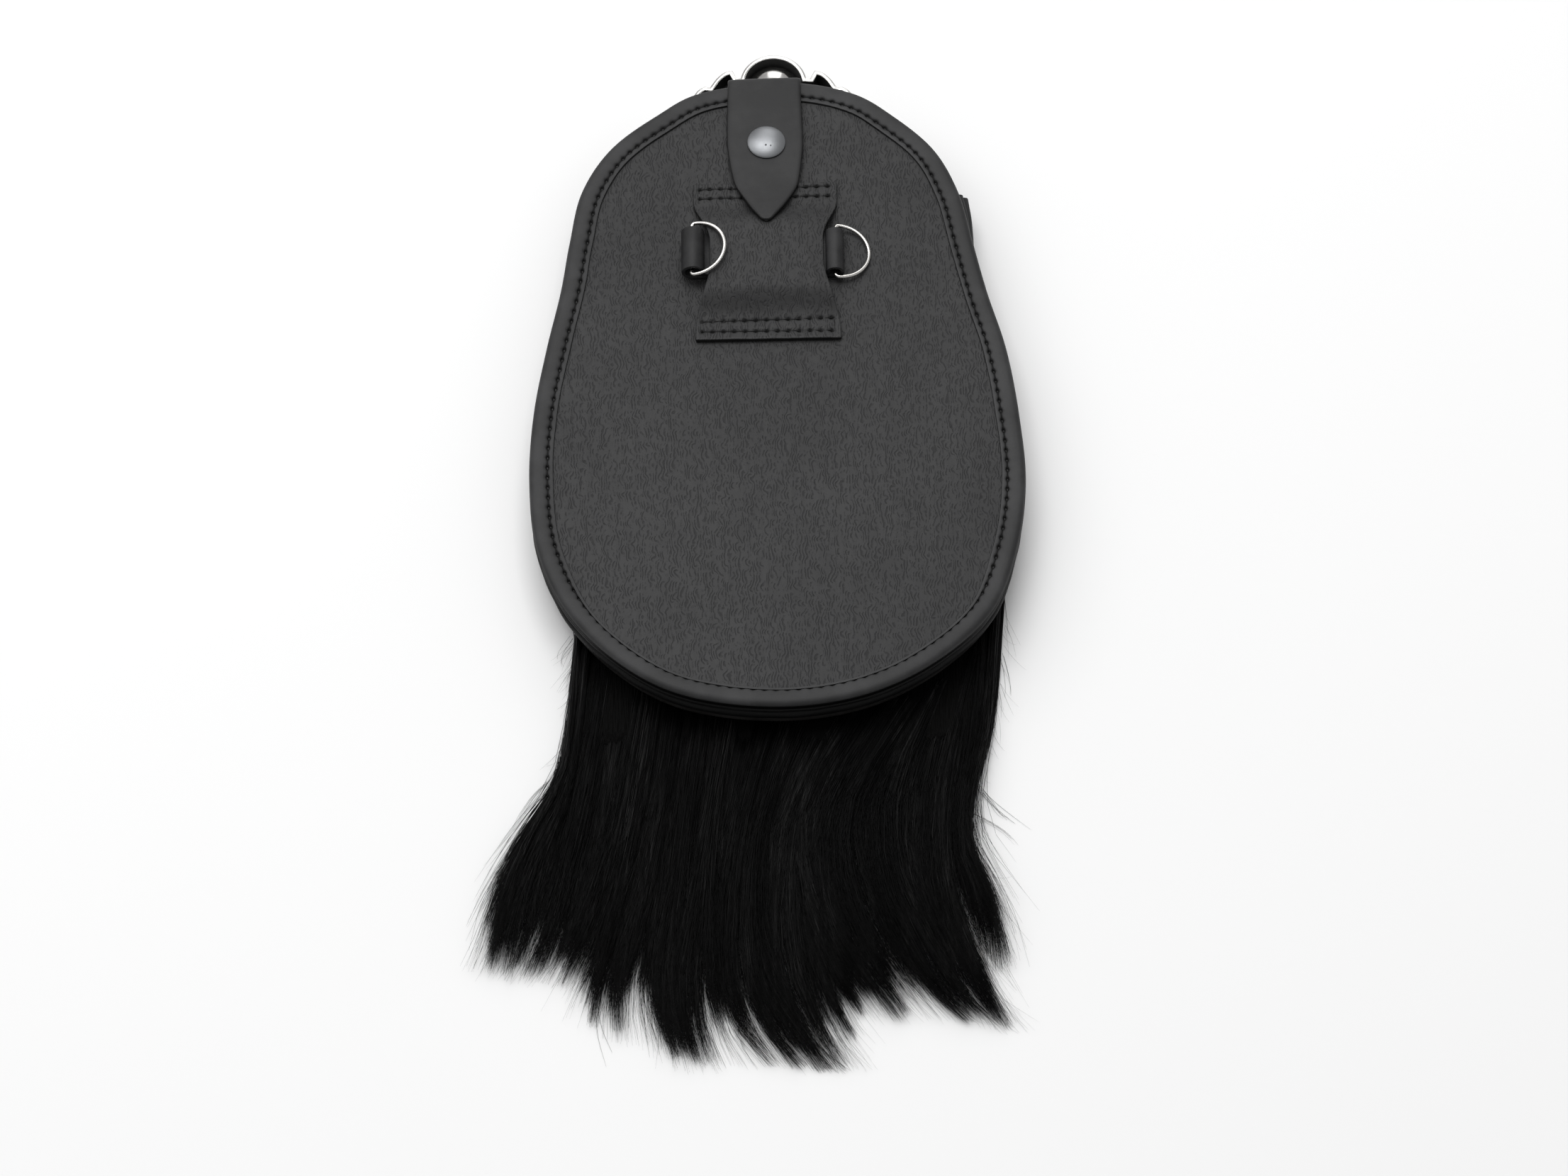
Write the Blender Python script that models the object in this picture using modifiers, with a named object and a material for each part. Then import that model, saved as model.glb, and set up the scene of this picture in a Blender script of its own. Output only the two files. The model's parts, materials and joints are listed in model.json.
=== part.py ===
"""Long-haired sporran pouch, lying on its face with its leather back up.

The pouch is two leather panels joined by a gusset, bound along the back panel's edge. A hollow
metal cantle sits on the front of its top, and long hair hangs from a pelt on the front panel.
A tab folds over the mouth and snaps on the back. Below it a stitched patch holds down a strap,
whose two rolled ends carry the wire D-rings that the waist strap clips to.

Metres, +Z up. X runs across the pouch, +Y towards the cantle, and the pouch lies on z = 0.
Tables and constants below are in millimetres and are scaled once, where a mesh is made.
"""
import math

import bmesh
import bpy
import numpy as np

MM = 0.001
GAP = 0.3                     # clearance between pieces that touch

# heights above the surface that the pouch lies on
FRONT_FACE = 8.0              # outer face of the front panel
PANEL_LEATHER = 2.2
FRONT_EDGE_ROUND = 0.4
OPEN_X = (-55.0, 65.0)        # the open middle of the back, below the patch, swells up to a flat
OPEN_Y = (-30.0, 70.0)
SWELL = 0.4
SWELL_SLOPE = 8.0             # width of the slope round that flat
FRONT_INSIDE = FRONT_FACE + PANEL_LEATHER
BACK_FACE = 22.2              # outer face of the back panel
BACK_INSIDE = BACK_FACE - PANEL_LEATHER

# the pouch's outline, at the outer edge of the binding: height up the pouch, left and right edge
OUTLINE_TOP = (10.0, 201.5)
OUTLINE_ROWS = [              # y, left x, right x
    (196.0, -27.5, 35.0),
    (186.0, -43.0, 49.5),
    (170.0, -61.0, 65.5),
    (150.0, -72.0, 75.0),
    (126.0, -76.5, 80.5),
    (104.0, -79.5, 85.5),
    (78.0, -84.5, 92.5),
    (48.0, -89.0, 97.0),
    (18.0, -90.0, 98.9),
    (-12.0, -86.5, 95.0),
    (-38.0, -75.5, 85.5),
    (-60.0, -56.0, 64.0),
    (-74.0, -32.5, 38.0),
]
OUTLINE_BOTTOM = (5.5, -79.5)
OUTLINE_STATIONS = 76
FINE_STATIONS = 400           # for finding where the gusset starts and ends

# edge binding: a strip folded round the back panel's edge
BINDING_LEATHER = 1.0
BINDING_ON_BACK = 9.0         # width that shows on the back
BINDING_INSIDE = 6.0          # width turned to the inside
BINDING_ROUND = 0.9           # round of its two outer corners

# gusset: a bellows strip from neck to neck round the bottom of the pouch
GUSSET_LEATHER = 1.6
GUSSET_STATIONS = 60
GUSSET_END_Y = 152.0          # height of its two free ends
GUSSET_LEVELS = [             # share of its height, offset from the outline, share of the flare
    (1.00, -1.6, 0.15),       # seam under the binding
    (0.84, -0.5, 0.50),       # upper fold
    (0.62, -2.2, 0.70),       # groove between the folds
    (0.32, -0.4, 1.00),       # lower fold
    (0.00, -2.0, 0.80),       # seam on the front panel
]
FLARE = [(0.0, 5.2), (14.0, 3.0), (28.0, 1.0), (40.0, 0.0)]   # along from the right end, outwards

FRONT_INSET = 1.5             # the front panel is this much smaller than the outline

# cantle: a tray open to the back, its outline given down one half from the top of its arch
CANTLE_X = 2.7
CANTLE_TOP = 224.8
CANTLE_DEPTH = 7.7
CANTLE_PLATE = 1.5
CANTLE_RIM = 1.6
ARCH_RADIUS = 13.2
ARCH_END = 80.0               # degrees of arc from the top of the arch to its foot
ARCH_STEPS = 8
CANTLE_HALF = [               # half width, drop below the top of the arch
    (14.6, -11.0),            # notch beside the arch
    (16.3, -7.3), (19.4, -8.2), (22.6, -11.2), (25.2, -15.4),   # first lobe
    (27.4, -15.1), (30.0, -16.9), (31.8, -20.0),                # second lobe
    (33.2, -24.5), (37.0, -27.8), (43.0, -33.0), (49.0, -42.5), (53.5, -54.0), (55.5, -62.5),
    (53.6, -66.5),            # lower corner
    (40.0, -62.5), (20.0, -58.0),
]
CANTLE_FOOT = (0.0, -56.5)
BOSS_RADIUS = 9.6
BOSS_DROP = -12.7
BOSS_HEIGHT = 7.3

# closing tab, from its tip on the back, over the rim and down to the front panel
TAB_LEATHER = 1.4
TAB_PATH = [                  # y, middle height above the back face, middle x, half width
    (131.8, 8.2, 0.0, 1.3),
    (134.0, 7.5, 0.0, 3.1),
    (138.0, 6.2, 0.0, 5.6),
    (142.7, 4.9, 0.1, 8.2),
    (146.5, 4.2, 0.1, 10.3),
    (150.3, 3.9, 0.0, 12.1),
    (156.0, 3.6, -0.2, 13.3),
    (163.0, 3.4, -0.4, 14.2),
    (169.0, 3.35, -0.5, 14.8),
    (176.0, 3.3, -0.6, 14.9),
    (186.0, 3.1, -0.8, 14.6),
    (196.0, 2.8, -0.9, 14.3),
    (199.6, 2.6, -0.9, 14.3),
    (201.4, 2.1, -0.9, 14.3),
    (202.5, 1.1, -0.9, 14.3),
    (203.0, -0.4, -0.9, 14.3),
    (203.1, -2.6, -0.9, 14.3),
    (202.9, -5.0, -0.9, 14.3),
    (202.0, -7.4, -0.9, 14.2),
    (200.0, -9.4, -0.9, 14.1),
    (197.0, -10.6, -0.9, 14.0),
    (190.0, -11.0, -0.9, 14.0),
    (176.0, -11.0, -0.9, 14.0),
]
TAB_COLUMNS = 4
TAB_HOLE_HEIGHT = 3.3         # middle of the tab above the back face, at the post
TAB_HOLE_DEPTH = 6.0

# press stud, on one upright axis through the tab and the back panel
SNAP_X = 0.0
SNAP_Y = 170.3
CAP_RADIUS = 7.5
POST_RADIUS = 1.8
STUD_RADIUS = 1.3
SNAP_SIDES = 20
HOLE_SIDES = 12
CAP_PROFILE = [               # radius, height above the back face
    (0.0, 6.7), (2.8, 6.5), (5.2, 5.9), (6.8, 5.1), (CAP_RADIUS, 4.6), (7.2, 4.35),
    (POST_RADIUS, 4.35), (POST_RADIUS, 2.3), (5.2, 2.3), (5.2, GAP),
    (2.4, GAP), (2.4, 1.8), (0.0, 1.8),
]
STUD_PROFILE = [
    (0.0, 1.5), (1.5, 1.35), (2.0, 0.85), (STUD_RADIUS, 0.3), (STUD_RADIUS, -2.5),
    (4.0, -2.5), (4.0, -3.2), (0.0, -3.2),
]

# belt patch: sewn down at its two ends, free and pulled in between them
PATCH_X = 0.2
PATCH_Y = 117.0
PATCH_TURN = 1.3              # degrees
PATCH_LEATHER = 1.8
PATCH_HALF_WIDTH = 28.0
PATCH_HALF_LENGTH = 35.8
PATCH_WAIST = 6.0             # how far each side is pulled in beside the strap
PATCH_PULL = (-32.0, -2.0, 7.0, 28.0)   # where along it the pull begins, is full and ends
PATCH_LEVEL = 12.8            # half length of its raised middle
PATCH_SEWN = 27.0             # distance from the middle to the sewn ends
PATCH_LIFT = 4.2              # rise of its free sides
PATCH_CROWN = 1.0             # further rise along its middle

# ring strap: lies under the patch, with a rolled end at each side
STRAP_LEATHER = 1.5
STRAP_WIDTH = 18.8
STRAP_Y = 119.3
STRAP_TURN = 0.8              # degrees
STRAP_DOUBLED = 12.0          # the sewn-back end reaches this far in from a roll's centre
ROLLS = [(-28.4, 4.5), (26.6, 3.6)]      # middle x and radius of the left and the right roll
BORE_SIDES = 16
ROLL_STEP = 20                # degrees between the points of a roll

# D-rings: one wire each, straight bar in the roll and a round bow outside it
RING_WIRE = 1.5
RING_HALF_BAR = 11.65         # bar's half length to the wire's middle
RING_SHOULDER = 1.5           # straight stretch before the round bow
RING_CORNER = 1.2
RINGS = [                     # name, bar x, bar height above the back face, middle y, tilt (degrees)
    ("left_ring", -28.8, 5.95, 119.6, 14.6),
    ("right_ring", 26.9, 3.4, 120.5, -9.6),
]

# pelt and hair on the front panel
PELT_TOP = FRONT_FACE - GAP
PELT_LEATHER = 3.4
PELT_INSET = 6.0
PELT_STATIONS = 28
PELT_END_Y = 150.0            # the pelt ends under the cantle's lower edge
HAIR_SIDES = 6
HAIR_STATIONS = [             # share of the length, of the width, lower and upper share of the depth
    (0.00, 0.60, 0.25, 0.78), (0.22, 1.00, 0.00, 0.80), (0.43, 1.00, 0.00, 0.80),
    (0.64, 1.00, 0.00, 1.00), (0.86, 0.74, 0.00, 0.62), (1.00, 0.08, 0.00, 0.20),
]
HAIR = [                      # root x, root y, tip x, tip y, bow, half width, depth, lift
    (-48.0, 150.0, -56.0, 52.0, 0.0, 15.0, 7.2, 0.0),
    (-16.0, 149.0, -20.0, 46.0, 0.0, 16.0, 7.4, 0.1),
    (18.0, 149.0, 22.0, 50.0, 0.0, 16.0, 7.3, 0.0),
    (52.0, 149.5, 62.0, 54.0, 0.0, 15.0, 7.2, 0.1),
    (-62.0, 92.0, -68.0, -24.0, 0.0, 15.0, 7.3, 0.2),
    (-32.0, 90.0, -36.0, -34.0, 0.0, 16.0, 7.2, 0.3),
    (0.0, 92.0, 2.0, -40.0, 0.0, 16.0, 7.3, 0.2),
    (34.0, 90.0, 40.0, -34.0, 0.0, 16.0, 7.2, 0.3),
    (68.0, 92.0, 76.0, -20.0, 0.0, 15.0, 7.3, 0.2),
    (-60.0, 26.0, -97.8, -184.4, 17.0, 14.5, 8.4, 0.0),
    (-48.0, 14.0, -86.0, -184.0, 15.0, 14.5, 9.0, 0.3),
    (-36.0, 20.0, -64.0, -197.0, 12.0, 14.5, 8.6, 0.1),
    (-24.0, 12.0, -43.0, -211.0, 7.0, 14.5, 9.1, 0.3),
    (-12.0, 18.0, -24.0, -224.8, 3.0, 14.5, 8.8, 0.2),
    (0.0, 12.0, -5.0, -216.0, 0.0, 14.5, 9.1, 0.3),
    (12.0, 18.0, 14.0, -220.5, -1.0, 14.5, 8.7, 0.1),
    (24.0, 12.0, 29.0, -217.0, -3.0, 13.0, 9.0, 0.3),
    (38.0, 18.0, 53.0, -199.0, -5.0, 14.0, 8.8, 0.2),
    (50.0, 12.0, 72.0, -200.0, -9.0, 14.5, 9.1, 0.3),
    (62.0, 20.0, 90.0, -201.0, -15.0, 14.0, 8.6, 0.1),
    (66.0, 26.0, 90.0, -177.5, -20.0, 13.0, 8.4, 0.3),
    (79.0, 34.0, 70.0, -132.0, 2.0, 11.0, 8.2, 0.2),
]


# ---------------------------------------------------------------- scene and materials

def clear_scene():
    for old in list(bpy.data.objects):
        bpy.data.objects.remove(old, do_unlink=True)


def new_collection(name):
    group = bpy.data.collections.new(name)
    bpy.context.scene.collection.children.link(group)
    return group


def material(name, colour, roughness, metallic=0.0):
    finish = bpy.data.materials.new(name)
    finish.use_nodes = True
    shader = finish.node_tree.nodes["Principled BSDF"]
    shader.inputs["Base Color"].default_value = (*colour, 1.0)
    shader.inputs["Roughness"].default_value = roughness
    shader.inputs["Metallic"].default_value = metallic
    return finish


def add_object(name, data, group, finish=None):
    thing = bpy.data.objects.new(name, data)
    group.objects.link(thing)
    if finish:
        data.materials.append(finish)
    return thing


def add_mesh(name, bm, group, finish=None):
    bmesh.ops.scale(bm, vec=(MM, MM, MM), verts=bm.verts)
    bmesh.ops.recalc_face_normals(bm, faces=bm.faces)
    mesh = bpy.data.meshes.new(name)
    bm.to_mesh(mesh)
    bm.free()
    mesh.shade_smooth()
    mesh.set_sharp_from_angle(angle=math.radians(35))
    return add_object(name, mesh, group, finish)


def hide_cutter(thing):
    thing.hide_render = True
    thing.display_type = 'WIRE'
    return thing


# ---------------------------------------------------------------- outlines and lofts

def spline(points, spacing, closed=False):
    """Centripetal curve through the points, read off at even steps along it."""
    points = [np.array(p, float) for p in points]
    if closed:
        points = [points[-1]] + points + points[:2]
    else:
        points = [2 * points[0] - points[1]] + points + [2 * points[-1] - points[-2]]
    fine = []
    for a, b, c, d in zip(points, points[1:], points[2:], points[3:]):
        knots = [0.0]
        for p, q in ((a, b), (b, c), (c, d)):
            knots.append(knots[-1] + math.sqrt(np.linalg.norm(q - p)))
        t0, t1, t2, t3 = knots
        for t in np.linspace(t1, t2, 16, endpoint=False):
            ab = a + (b - a) * (t - t0) / (t1 - t0)
            bc = b + (c - b) * (t - t1) / (t2 - t1)
            cd = c + (d - c) * (t - t2) / (t3 - t2)
            abc = ab + (bc - ab) * (t - t0) / (t2 - t0)
            bcd = bc + (cd - bc) * (t - t1) / (t3 - t1)
            fine.append(abc + (bcd - abc) * (t - t1) / (t2 - t1))
    fine.append(points[-2])
    fine = np.array(fine)
    along = np.concatenate([[0.0], np.cumsum(np.linalg.norm(np.diff(fine, axis=0), axis=1))])
    steps = spacing if isinstance(spacing, int) else max(2, round(along[-1] / spacing))
    wanted = np.linspace(0.0, along[-1], steps if closed else steps + 1, endpoint=not closed)
    return np.stack([np.interp(wanted, along, fine[:, k]) for k in range(fine.shape[1])], axis=1)


def pouch_outline(stations):
    """The pouch's closed outline, anticlockwise seen from above, starting at its top."""
    left = [(x, y) for y, x, _ in OUTLINE_ROWS]
    right = [(x, y) for y, _, x in reversed(OUTLINE_ROWS)]
    return spline([OUTLINE_TOP, *left, OUTLINE_BOTTOM, *right], stations, closed=True)


def outward_normals(points, closed=True):
    """Unit normals to the right of an anticlockwise path."""
    if closed:
        along = np.roll(points, -1, axis=0) - np.roll(points, 1, axis=0)
    else:
        along = np.gradient(points, axis=0)
    normals = np.stack([along[:, 1], -along[:, 0]], axis=1)
    return normals / np.linalg.norm(normals, axis=1)[:, None]


def offset(points, distance):
    return points + outward_normals(points) * distance


def loft(rings, closed_path):
    """A solid through closed rings of points: a tube with capped ends, or a ring of rings."""
    bm = bmesh.new()
    loops = [[bm.verts.new(p) for p in ring] for ring in rings]
    pairs = list(zip(loops, loops[1:]))
    if closed_path:
        pairs.append((loops[-1], loops[0]))
    else:
        bm.faces.new(loops[0])
        bm.faces.new(loops[-1])
    for one, two in pairs:
        for k in range(len(one)):
            n = (k + 1) % len(one)
            bm.faces.new((one[k], one[n], two[n], two[k]))
    return bm


def flat_curve(name, outlines, thickness, round_edge, group, finish=None):
    """A plate from closed outlines, the first its edge and the others holes, centred on z = 0."""
    curve = bpy.data.curves.new(name, 'CURVE')
    curve.dimensions = '2D'
    curve.fill_mode = 'BOTH'
    curve.extrude = (thickness / 2 - round_edge) * MM
    curve.bevel_depth = round_edge * MM
    curve.bevel_resolution = 0
    curve.offset = -round_edge * MM
    for points in outlines:
        loop = curve.splines.new('POLY')
        loop.points.add(len(points) - 1)
        for point, (x, y) in zip(loop.points, points):
            point.co = (x * MM, y * MM, 0.0, 1.0)
        loop.use_cyclic_u = True
    return add_object(name, curve, group, finish)


def circle(x, y, radius, sides):
    turns = [2 * math.pi * k / sides for k in range(sides)]
    return [(x + radius * math.cos(t), y + radius * math.sin(t)) for t in turns]


def turned(name, profile, x, y, group, finish):
    """A turned piece: its profile, from the axis round to the axis, spun about an upright line."""
    bm = bmesh.new()
    verts = [bm.verts.new((r * MM, 0.0, z * MM)) for r, z in profile]
    for one, two in zip(verts, verts[1:]):
        bm.edges.new((one, two))
    mesh = bpy.data.meshes.new(name)
    bm.to_mesh(mesh)
    bm.free()
    thing = add_object(name, mesh, group, finish)
    thing.location = (x * MM, y * MM, BACK_FACE * MM)
    screw = thing.modifiers.new("turn", 'SCREW')
    screw.axis = 'Z'
    screw.steps = SNAP_SIDES
    screw.render_steps = SNAP_SIDES
    screw.use_merge_vertices = True
    screw.merge_threshold = 0.00005
    return thing


# ---------------------------------------------------------------- pouch

def make_back_panel(group, finish):
    edge = offset(pouch_outline(OUTLINE_STATIONS), -(BINDING_LEATHER + GAP))
    hole = circle(SNAP_X, SNAP_Y, STUD_RADIUS + GAP, HOLE_SIDES)
    sheet = flat_curve("back_sheet", [edge, hole], PANEL_LEATHER, 0.0, group)
    bpy.context.view_layer.update()
    flat = bpy.data.meshes.new_from_object(sheet.evaluated_get(
        bpy.context.evaluated_depsgraph_get()))
    bpy.data.objects.remove(sheet)

    bm = bmesh.new()
    bm.from_mesh(flat)
    bpy.data.meshes.remove(flat)
    bmesh.ops.scale(bm, vec=(1 / MM, 1 / MM, 1 / MM), verts=bm.verts)
    bmesh.ops.remove_doubles(bm, verts=bm.verts, dist=0.01)
    bmesh.ops.translate(bm, vec=(0.0, 0.0, BACK_FACE - PANEL_LEATHER / 2), verts=bm.verts)
    for normal, (low, high) in (((1, 0, 0), OPEN_X), ((0, 1, 0), OPEN_Y)):
        for limit in (low - SWELL_SLOPE, low, high, high + SWELL_SLOPE):
            bmesh.ops.bisect_plane(bm, geom=bm.verts[:] + bm.edges[:] + bm.faces[:],
                                   plane_co=[limit * part for part in normal], plane_no=normal)
    for v in bm.verts:
        if v.co.z > (BACK_FACE + BACK_INSIDE) / 2:
            into = [min(place - low, high - place) / SWELL_SLOPE + 1.0
                    for place, (low, high) in zip(v.co, (OPEN_X, OPEN_Y))]
            v.co.z += SWELL * min(1.0, max(0.0, min(into)))
    middle = []
    for face in bm.faces:
        x, y, _ = face.calc_center_median()
        if face.normal.z > 0.5 and OPEN_X[0] < x < OPEN_X[1] and OPEN_Y[0] < y < OPEN_Y[1]:
            middle.append(face)
    bmesh.ops.dissolve_faces(bm, faces=middle)
    return add_mesh("back_panel", bm, group, finish)


def make_binding(group, finish):
    top = BACK_FACE + GAP + BINDING_LEATHER
    under = BACK_INSIDE - GAP - BINDING_LEATHER
    section = [               # distance inside the outline, height
        (BINDING_ON_BACK, top), (BINDING_ROUND, top), (0.0, top - BINDING_ROUND),
        (0.0, under + BINDING_ROUND), (BINDING_ROUND, under), (BINDING_INSIDE, under),
        (BINDING_INSIDE, under + BINDING_LEATHER), (BINDING_LEATHER, under + BINDING_LEATHER),
        (BINDING_LEATHER, top - BINDING_LEATHER), (BINDING_ON_BACK, top - BINDING_LEATHER),
    ]
    path = pouch_outline(OUTLINE_STATIONS)
    normals = outward_normals(path)
    rings = []
    for point, normal in zip(path, normals):
        rings.append([(*(point - normal * inside), z) for inside, z in section])
    return add_mesh("edge_binding", loft(rings, closed_path=True), group, finish)


def make_gusset(group, finish):
    outline = pouch_outline(FINE_STATIONS)
    below = outline[outline[:, 1] < GUSSET_END_Y]
    path = spline(below[::-1], GUSSET_STATIONS)     # from the right neck round to the left
    normals = -outward_normals(path, closed=False)
    along = np.concatenate([[0.0], np.cumsum(np.linalg.norm(np.diff(path, axis=0), axis=1))])
    flare = np.interp(along, *zip(*FLARE))
    low = FRONT_INSIDE + GAP
    high = BACK_INSIDE - GAP - BINDING_LEATHER - GAP
    rings = []
    for point, normal, spread in zip(path, normals, flare):
        wall = [(out + share * spread, low + level * (high - low))
                for level, out, share in GUSSET_LEVELS]
        lining = [(out - GUSSET_LEATHER, z) for out, z in reversed(wall)]
        rings.append([(*(point + normal * out), z) for out, z in wall + lining])
    return add_mesh("gusset", loft(rings, closed_path=False), group, finish)


def make_front_panel(group, finish):
    edge = offset(pouch_outline(OUTLINE_STATIONS), -FRONT_INSET)
    panel = flat_curve("front_panel", [edge], PANEL_LEATHER, FRONT_EDGE_ROUND, group, finish)
    panel.location.z = (FRONT_FACE + PANEL_LEATHER / 2) * MM
    return panel


# ---------------------------------------------------------------- cantle

def cantle_outline():
    arc = np.radians(np.linspace(0.0, ARCH_END, ARCH_STEPS + 1))
    half = [(ARCH_RADIUS * math.sin(a), ARCH_RADIUS * (math.cos(a) - 1)) for a in arc[1:-1]]
    half += CANTLE_HALF
    left = [(-x, y) for x, y in half]
    outline = [(0.0, 0.0), *left, CANTLE_FOOT, *reversed(half)]
    return np.array([(CANTLE_X + x, CANTLE_TOP + y) for x, y in outline])


def make_cantle(group, cutters, finish):
    outline = cantle_outline()
    tray = bmesh.new()
    floor = tray.faces.new([tray.verts.new((x, y, 0.0)) for x, y in outline])
    wall = bmesh.ops.extrude_face_region(tray, geom=[floor])
    raised = [v for v in wall["geom"] if isinstance(v, bmesh.types.BMVert)]
    bmesh.ops.translate(tray, vec=(0.0, 0.0, CANTLE_DEPTH), verts=raised)
    cantle = add_mesh("cantle", tray, group, finish)

    hollow = offset(outline, -CANTLE_RIM)
    rings = [[(x, y, z) for x, y in hollow] for z in (CANTLE_PLATE, CANTLE_DEPTH + 1.0)]
    cutter = hide_cutter(add_mesh("cantle_hollow", loft(rings, closed_path=False), cutters))
    cut = cantle.modifiers.new("hollow", 'BOOLEAN')
    cut.object = cutter

    dome = bmesh.new()
    bmesh.ops.create_uvsphere(dome, u_segments=20, v_segments=10, radius=BOSS_RADIUS)
    bmesh.ops.bisect_plane(dome, geom=dome.verts[:] + dome.edges[:] + dome.faces[:],
                           plane_co=(0, 0, 0), plane_no=(0, 0, 1), clear_inner=True)
    bmesh.ops.holes_fill(dome, edges=[e for e in dome.edges if e.is_boundary])
    sunk = CANTLE_PLATE / 2
    bmesh.ops.scale(dome, vec=(1, 1, (BOSS_HEIGHT - sunk) / BOSS_RADIUS), verts=dome.verts)
    bmesh.ops.translate(dome, vec=(CANTLE_X, CANTLE_TOP + BOSS_DROP, sunk), verts=dome.verts)
    boss = hide_cutter(add_mesh("cantle_boss", dome, cutters))
    join = cantle.modifiers.new("boss", 'BOOLEAN')
    join.operation = 'UNION'
    join.object = boss
    return cantle


# ---------------------------------------------------------------- tab and press stud

def make_tab(group, cutters, finish):
    bm = bmesh.new()
    rows = []
    for y, z, middle, half in TAB_PATH:
        shares = np.linspace(-1.0, 1.0, TAB_COLUMNS + 1)
        rows.append([bm.verts.new((middle + s * half, y, BACK_FACE + z)) for s in shares])
    for one, two in zip(rows, rows[1:]):
        for k in range(TAB_COLUMNS):
            bm.faces.new((one[k], one[k + 1], two[k + 1], two[k]))
    tab = add_mesh("closing_tab", bm, group, finish)
    wall = tab.modifiers.new("leather", 'SOLIDIFY')
    wall.thickness = TAB_LEATHER * MM
    wall.offset = 0.0

    drill = bmesh.new()
    bmesh.ops.create_cone(drill, cap_ends=True, segments=HOLE_SIDES, depth=TAB_HOLE_DEPTH,
                          radius1=POST_RADIUS + GAP, radius2=POST_RADIUS + GAP)
    middle = (SNAP_X, SNAP_Y, BACK_FACE + TAB_HOLE_HEIGHT)
    bmesh.ops.translate(drill, vec=middle, verts=drill.verts)
    hole = tab.modifiers.new("post hole", 'BOOLEAN')
    hole.object = hide_cutter(add_mesh("tab_hole", drill, cutters))
    return tab


# ---------------------------------------------------------------- patch, strap and rings

def smooth_step(t):
    t = min(1.0, max(0.0, t))
    return t * t * (3 - 2 * t)


def make_patch(group, finish):
    low, full_low, full_high, high = PATCH_PULL
    bm = bmesh.new()
    bmesh.ops.create_grid(bm, x_segments=10, y_segments=20, size=1.0)
    for v in bm.verts:
        across, along = v.co.x, v.co.y * PATCH_HALF_LENGTH
        raised = smooth_step((PATCH_SEWN - abs(along)) / (PATCH_SEWN - PATCH_LEVEL))
        waist = min(smooth_step((along - low) / (full_low - low)),
                    smooth_step((high - along) / (high - full_high)))
        v.co.x = across * (PATCH_HALF_WIDTH - PATCH_WAIST * waist)
        v.co.y = along
        v.co.z = GAP + PATCH_LEATHER / 2 + raised * (PATCH_LIFT + PATCH_CROWN * (1 - across ** 2))
    patch = add_mesh("belt_patch", bm, group, finish)
    patch.location = (PATCH_X * MM, PATCH_Y * MM, BACK_FACE * MM)
    patch.rotation_euler.z = math.radians(PATCH_TURN)
    wall = patch.modifiers.new("leather", 'SOLIDIFY')
    wall.thickness = PATCH_LEATHER * MM
    wall.offset = 0.0
    return patch


def make_ring_strap(group, finish):
    """Side view of the strap as a flat outline with a bore in each roll, then turned upright."""
    doubled = 2 * STRAP_LEATHER
    halves, bores = [], []
    for side, (x, radius) in zip((-1, 1), ROLLS):
        meet = 180 + math.degrees(math.asin((radius - doubled) / radius))
        turns = np.radians(np.append(np.arange(-90, meet, ROLL_STEP), meet))
        half = [(x + side * radius * math.cos(a), radius + radius * math.sin(a)) for a in turns]
        end = x - side * STRAP_DOUBLED
        halves.append(half + [(end, doubled), (end, STRAP_LEATHER)])
        bores.append(circle(x, radius, radius - STRAP_LEATHER, BORE_SIDES))
    left, right = halves
    strap = flat_curve("ring_strap", [right + left[::-1], *bores], STRAP_WIDTH, 0.0, group, finish)
    strap.location = (0.0, STRAP_Y * MM, (BACK_FACE + GAP) * MM)
    strap.rotation_euler = (math.radians(90), 0.0, math.radians(STRAP_TURN))
    return strap


def ring_path():
    """The D's closed middle line: bar along y through the origin, bow towards +x."""
    corner = RING_HALF_BAR - RING_CORNER
    half = [(0.0, 0.0)]
    for a in np.radians(np.arange(0.0, 91.0, 30.0)):
        half.append((RING_CORNER * (1 - math.cos(a)), corner + RING_CORNER * math.sin(a)))
    for a in np.radians(np.arange(90.0, -1.0, -10.0)):
        half.append((RING_SHOULDER + RING_HALF_BAR * math.cos(a), RING_HALF_BAR * math.sin(a)))
    lower = [(x, -y) for x, y in reversed(half[1:-1])]
    return half + lower


def make_ring(name, x, z, y, tilt, group, finish):
    curve = bpy.data.curves.new(name, 'CURVE')
    curve.dimensions = '3D'
    curve.bevel_depth = RING_WIRE / 2 * MM
    curve.bevel_resolution = 2
    wire = curve.splines.new('POLY')
    points = ring_path()
    wire.points.add(len(points) - 1)
    for point, (px, py) in zip(wire.points, points):
        point.co = (px * MM, py * MM, 0.0, 1.0)
    wire.use_cyclic_u = True
    ring = add_object(name, curve, group, finish)
    ring.location = (x * MM, y * MM, (BACK_FACE + z) * MM)
    ring.rotation_euler.y = -math.radians(tilt)
    return ring


# ---------------------------------------------------------------- hair

def make_lock(row, number, locks):
    """One tapered lock, flat and wide, that bows sideways from its root to its tip."""
    root_x, root_y, tip_x, tip_y, bow, half_width, depth, lift = row
    turns = [2 * math.pi * k / HAIR_SIDES for k in range(HAIR_SIDES)]
    top = math.sin(math.pi / 3)
    rings = []
    for share, full, low, high in HAIR_STATIONS:
        x = root_x + (tip_x - root_x) * share + bow * 4 * share * (1 - share)
        y = root_y + (tip_y - root_y) * share
        middle, half = (high + low) / 2 * depth, (high - low) / 2 * depth
        rings.append([(x + half_width * full * math.cos(a), y,
                       lift + middle + half * math.sin(a) / top) for a in turns])
    hide_cutter(add_mesh(f"lock_{number:02d}", loft(rings, closed_path=False), locks))


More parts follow.
